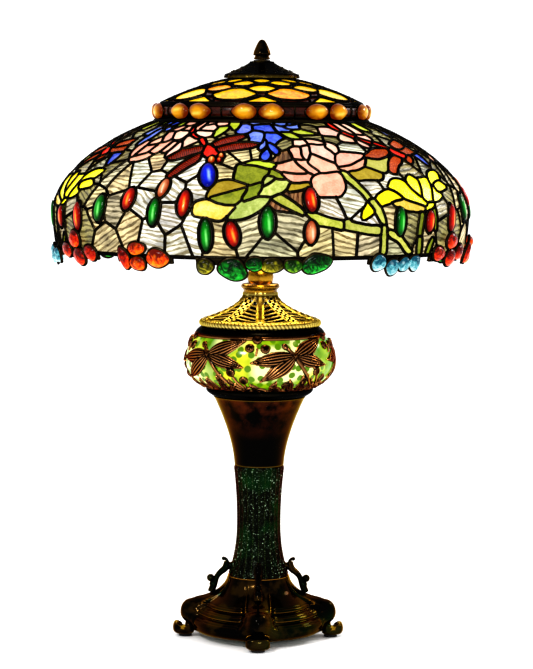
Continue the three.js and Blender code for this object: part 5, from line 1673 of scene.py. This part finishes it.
# Each knee ends in a ball.
steps += 4.2 * np.exp(-(off_knee / 8.5) ** 4) * np.exp(-((at - 0.74) / 0.14) ** 4)
shape = (section + normal * steps[..., None])[:, ::-1]
cavity_v, cavity_k = even(VALLEY_CAVITY, 40), even(KNEE_CAVITY, 40)
cavity = cavity_v[None] * (1 - share)[:, None, None] + cavity_k[None] * share[:, None, None]
bore = np.tile([[[BORE, 84], [BORE, 79]]], (columns, 1, 1))
whole = np.concatenate([cavity[:, ::-1], shape, bore], 1)
points = np.stack([whole[..., 0] * np.cos(angle)[:, None], whole[..., 0] * np.sin(angle)[:, None], whole[..., 1]], -1)
base = Builder()
base.grid(points, close_u=True)
FOOT = [[86, 24], [99, 24], [95.5, 17], [98, 12], [104, 10.5], [108.5, 14], [110, 20], [114, 18.5], [115.5, 11],
        [113, 5], [107, 3.3], [88, 3.3], [85, 8]]
foot = rounded(FOOT, 3, closed=True)
middle = np.array([99, 11.5])
FOOT_HALF, FOOT_SOLE = 16, 3.3
for k in range(4):
    rotate = np.array(Matrix.Rotation(k * math.pi / 2, 3, "Z"))
    slices = []
    for y in FOOT_HALF * np.sin(np.linspace(-1, 1, 31) * math.pi / 2):
        shrink = 0.42 + 0.58 * (1 - min(1, abs(y / FOOT_HALF)) ** 2.8) ** 0.5
        ring_ = middle + (foot - middle) * shrink
        ring_[:, 1] = np.maximum(ring_[:, 1], FOOT_SOLE)
        slices.append(np.stack([ring_[:, 0], np.full(len(foot), float(y)), ring_[:, 1]], 1) @ rotate.T)
    index = base.grid(np.array(slices)[::-1], close_v=True)
    base.cap(index[0, :-1])
    base.cap(index[-1, :-1], flip=True)
base.make("base_shell", [bronze], "stand", "bronze", smooth=45, replaces=["base_casting"])

STRAP = rounded([(41.8, 101), (44, 92), (51, 87), (56, 81), (58.5, 73), (61, 66.5), (64, 60)], 2)
LIP = rounded([(41.8, 100), (42.5, 104), (46, 105.5)], 2)
ARMS = {"right": 0, "back": 90, "left": 180, "front": 270}
for side_name, degrees in ARMS.items():
    arm = Builder()
    rotate = np.array(Matrix.Rotation(math.radians(degrees), 3, "Z"))

    def sweep(line, radius, taper=0.0):
        """A rod of (distance out, height) points in the arm's own plane."""
        path = np.stack([line[:, 0], np.zeros(len(line)), line[:, 1]], 1)
        normal_ = np.tile((0, 1.0, 0), (len(line), 1))
        t = np.linspace(0, 1, len(line))
        size = radius * (1 - taper * t + 0.12 * np.sin(t * 3 * math.pi))
        arm.tube(path @ rotate.T, normal_ @ rotate.T, circle(12) * (1, 1.15) * size[:, None, None])

    sweep(STRAP, 4.3)
    sweep(LIP, 2.3, 0.1)
    sweep(rounded([(33.5, 97), (38, 96.5), (43, 94)], 2), 4.4)
    for centre, radius in (((64.3, 0, 79), 5.2), ((47, 0, 105.4), 2.7), ((42.2, 0, 97.5), 4.8),
                           ((60.6, 0, 70.5), 5.4)):
        arm.grid((ball_grid(radius, 14, 20) + centre) @ rotate.T, close_v=True)
    sweep(rounded([(64.3, 79), (61, 76), (59.5, 74)], 2), 2.6)
    arm.make(f"scroll_{side_name}", [bronze], "stand", "bronze", smooth=60,
             replaces=[f"scroll_arm_{side_name}"])


# ---- Lamp cluster ------------------------------------------------------------------------------

SOCKET = [[0, 28], [9, 28], [10, 29], [15.6, 33.6], [16, 35], [16, 44], [16.6, 45], [17.5, 46.4], [17.5, 60],
          [17.1, 61], [17.5, 62], [17.5, 82.5], [17, 84], [15.7, 84], [15.5, 83], [15.5, 50], [0, 50]]
BULB = [[12.8, 53], [12.8, 81], [15, 87], [21.5, 98], [25.4, 105], [27.2, 113], [27.4, 119], [26.6, 126], [23.5, 135],
        [19, 142], [13, 147], [6, 149.6], [0, 150]]
PULL = [[0, 504], [3.0, 504], [3.6, 504.6], [3.6, 505.6], [3.2, 510], [2.4, 513.6], [1.6, 516], [0, 516.4]]
LINK = [[0, 516], [0.5, 516], [0.5, 572], [0, 572]]
CLUSTER_HEIGHT, SOCKET_TILT, CHAIN_RADIUS = 578, 75, 52
SOCKET_AZIMUTH = {1: 30, 2: 150, 3: 270}
lat = np.linspace(-1.5, 1.5, 8)
for number, azimuth in SOCKET_AZIMUTH.items():
    aim = (Matrix.Translation((0, 0, CLUSTER_HEIGHT)) @ Matrix.Rotation(math.radians(azimuth), 4, "Z")
           @ Matrix.Rotation(math.radians(SOCKET_TILT), 4, "Y"))
    turning(f"socket_shell_{number}", SOCKET, 64, brass, "brass", 45, f"socket_{number}", turn=aim)
    turning(f"bulb_globe_{number}", BULB, 64, frost, "bulb_glass", 180, f"bulb_{number}", turn=aim)
    x, y = (CHAIN_RADIUS * way(math.radians(azimuth)) for way in (math.cos, math.sin))
    chain = Builder()
    chain.lathe(PULL, 32, centre=(x, y))
    chain.lathe(LINK, 10, centre=(x, y))
    for bead_z in np.arange(518.2, 571, 4.3):
        chain.lathe([[1.6 * math.cos(a), bead_z + 1.6 * math.sin(a)] for a in lat], 16, centre=(x, y))
    chain.make(f"bead_chain_{number}", [brass], f"chain_{number}", "brass", smooth=60,
               replaces=[f"pull_chain_{number}"])

CANDLE = [[0, 358.6], [6.5, 358.6], [6.5, 374], [8, 377], [10, 380.5], [11.4, 385], [11.5, 389], [10.6, 394],
          [8.6, 400], [5.6, 405.6], [2.4, 409.2], [0, 410]]
HOLDER = [[0, 350.4], [9, 350.4], [9.5, 351], [9.5, 360], [9.0, 361], [9.5, 362], [9.5, 373.4], [9, 374],
          [7.2, 374], [7.2, 357], [0, 357]]
BESIDE_ROD = (37, 0)
turning("night_light_globe", CANDLE, 48, frost, "bulb_glass", 180, "night_light_bulb", centre=BESIDE_ROD)
turning("night_light_holder", HOLDER, 48, black, "black_plastic", 45, "night_light_socket", centre=BESIDE_ROD)


# ---- The CAD pieces that are kept get detailed looks -------------------------------------------

KEPT = {
    "base_cover_plate": steel, "base_felt": felt, "foot_pad_right": rubber, "foot_pad_back": rubber,
    "foot_pad_left": rubber, "foot_pad_front": rubber, "threaded_rod": steel, "rod_washer": steel, "rod_nut": steel,
    "cord_bushing": black, "night_light_bracket": steel, "spacer_tube": gilt, "socket_cluster": brass,
    "shade_riser": brass, "shade_wheel": brass, "aperture_ring": brass, "finial_washer": lead,
}
for kept_name, look in KEPT.items():
    piece = bpy.data.objects[kept_name]
    for slot_ in piece.material_slots:
        slot_.material = look.material


# ---- Camera, floor and light -------------------------------------------------------------------

scene = bpy.context.scene
scene.view_settings.view_transform = "Standard"
scene.view_settings.look = "High Contrast"

# The photograph's camera, 3.2 m in front of the lamp and looking about 5 degrees down at it.
LENS, SHIFT_X = 129.15, 0.0097
CAMERA_PLACE, CAMERA_PITCH, CAMERA_ROLL = (0, -3.192, 0.7047), 84.7, 0.4
camera_data = bpy.data.cameras.new("camera")
camera_data.lens = LENS
camera_data.sensor_width = 36
camera_data.shift_x = SHIFT_X
camera = bpy.data.objects.new("camera", camera_data)
scene.collection.objects.link(camera)
camera.matrix_world = (
    Matrix.Translation(CAMERA_PLACE)
    @ Matrix.Rotation(math.radians(CAMERA_PITCH), 4, "X")
    @ Matrix.Rotation(math.radians(CAMERA_ROLL), 4, "Z")
)
scene.camera = camera

floor_look = Look("floor_paint", rough=0.7)
floor_place = floor_look.coordinates()
floor_look.set("base", floor_look.ramp(
    floor_look.noise(floor_place, 3, 3), (0.3, (250, 250, 250)), (0.7, (254, 254, 254))))
floor_look.set("normal", floor_look.bump(floor_look.noise(floor_place, 200, 2), 0.05, 0.0005))
FLOOR = 30  # metres from the lamp to each edge
corners = [(-FLOOR, -FLOOR, 0), (FLOOR, -FLOOR, 0), (FLOOR, FLOOR, 0), (-FLOOR, FLOOR, 0)]
floor_mesh = bpy.data.meshes.new("floor")
floor_mesh.from_pydata(corners, [], [(0, 1, 2, 3)])
floor_mesh.materials.append(floor_look.material)
floor = bpy.data.objects.new("floor", floor_mesh)
scene.collection.objects.link(floor)

world = bpy.data.worlds.new("studio")
world.use_nodes = True
sky = world.node_tree.nodes["Background"]
sky.inputs[0].default_value = (1, 1, 1, 1)
sky.inputs[1].default_value = 1.0
scene.world = world


AIM, WHITE, WARM = (0, 0, 0.4), (1, 1, 1), (1.0, 0.9, 0.7)
# Each light's name, kind, watts, place, size, aim and colour.
LIGHTS = [
    ("key", "AREA", 34, (-1.2, -2.2, 1.9), 0.5, AIM, WHITE),
    ("front", "AREA", 14, (0.25, -3.0, 0.9), 0.25, (0, 0, 0.2), WHITE),
    ("rim_light", "AREA", 16, (1.9, 0.9, 1.5), 0.6, AIM, WHITE),
]
for number, azimuth in SOCKET_AZIMUTH.items():
    x, y = (0.075 * way(math.radians(azimuth)) for way in (math.cos, math.sin))
    LIGHTS.append((f"bulb_light_{number}", "POINT", 0.35, (x, y, 0.55), 0.03, AIM, WARM))
for light_name, kind, watts, where, size, aim, colour in LIGHTS:
    data = bpy.data.lights.new(light_name, kind)
    data.energy = watts
    data.color = colour
    if kind == "AREA":
        data.shape = "DISK"
        data.size = size
    else:
        data.shadow_soft_size = size
    light = bpy.data.objects.new(light_name, data)
    light.location = where
    light.rotation_euler = (Vector(aim) - Vector(where)).to_track_quat("-Z", "Y").to_euler()
    scene.collection.objects.link(light)
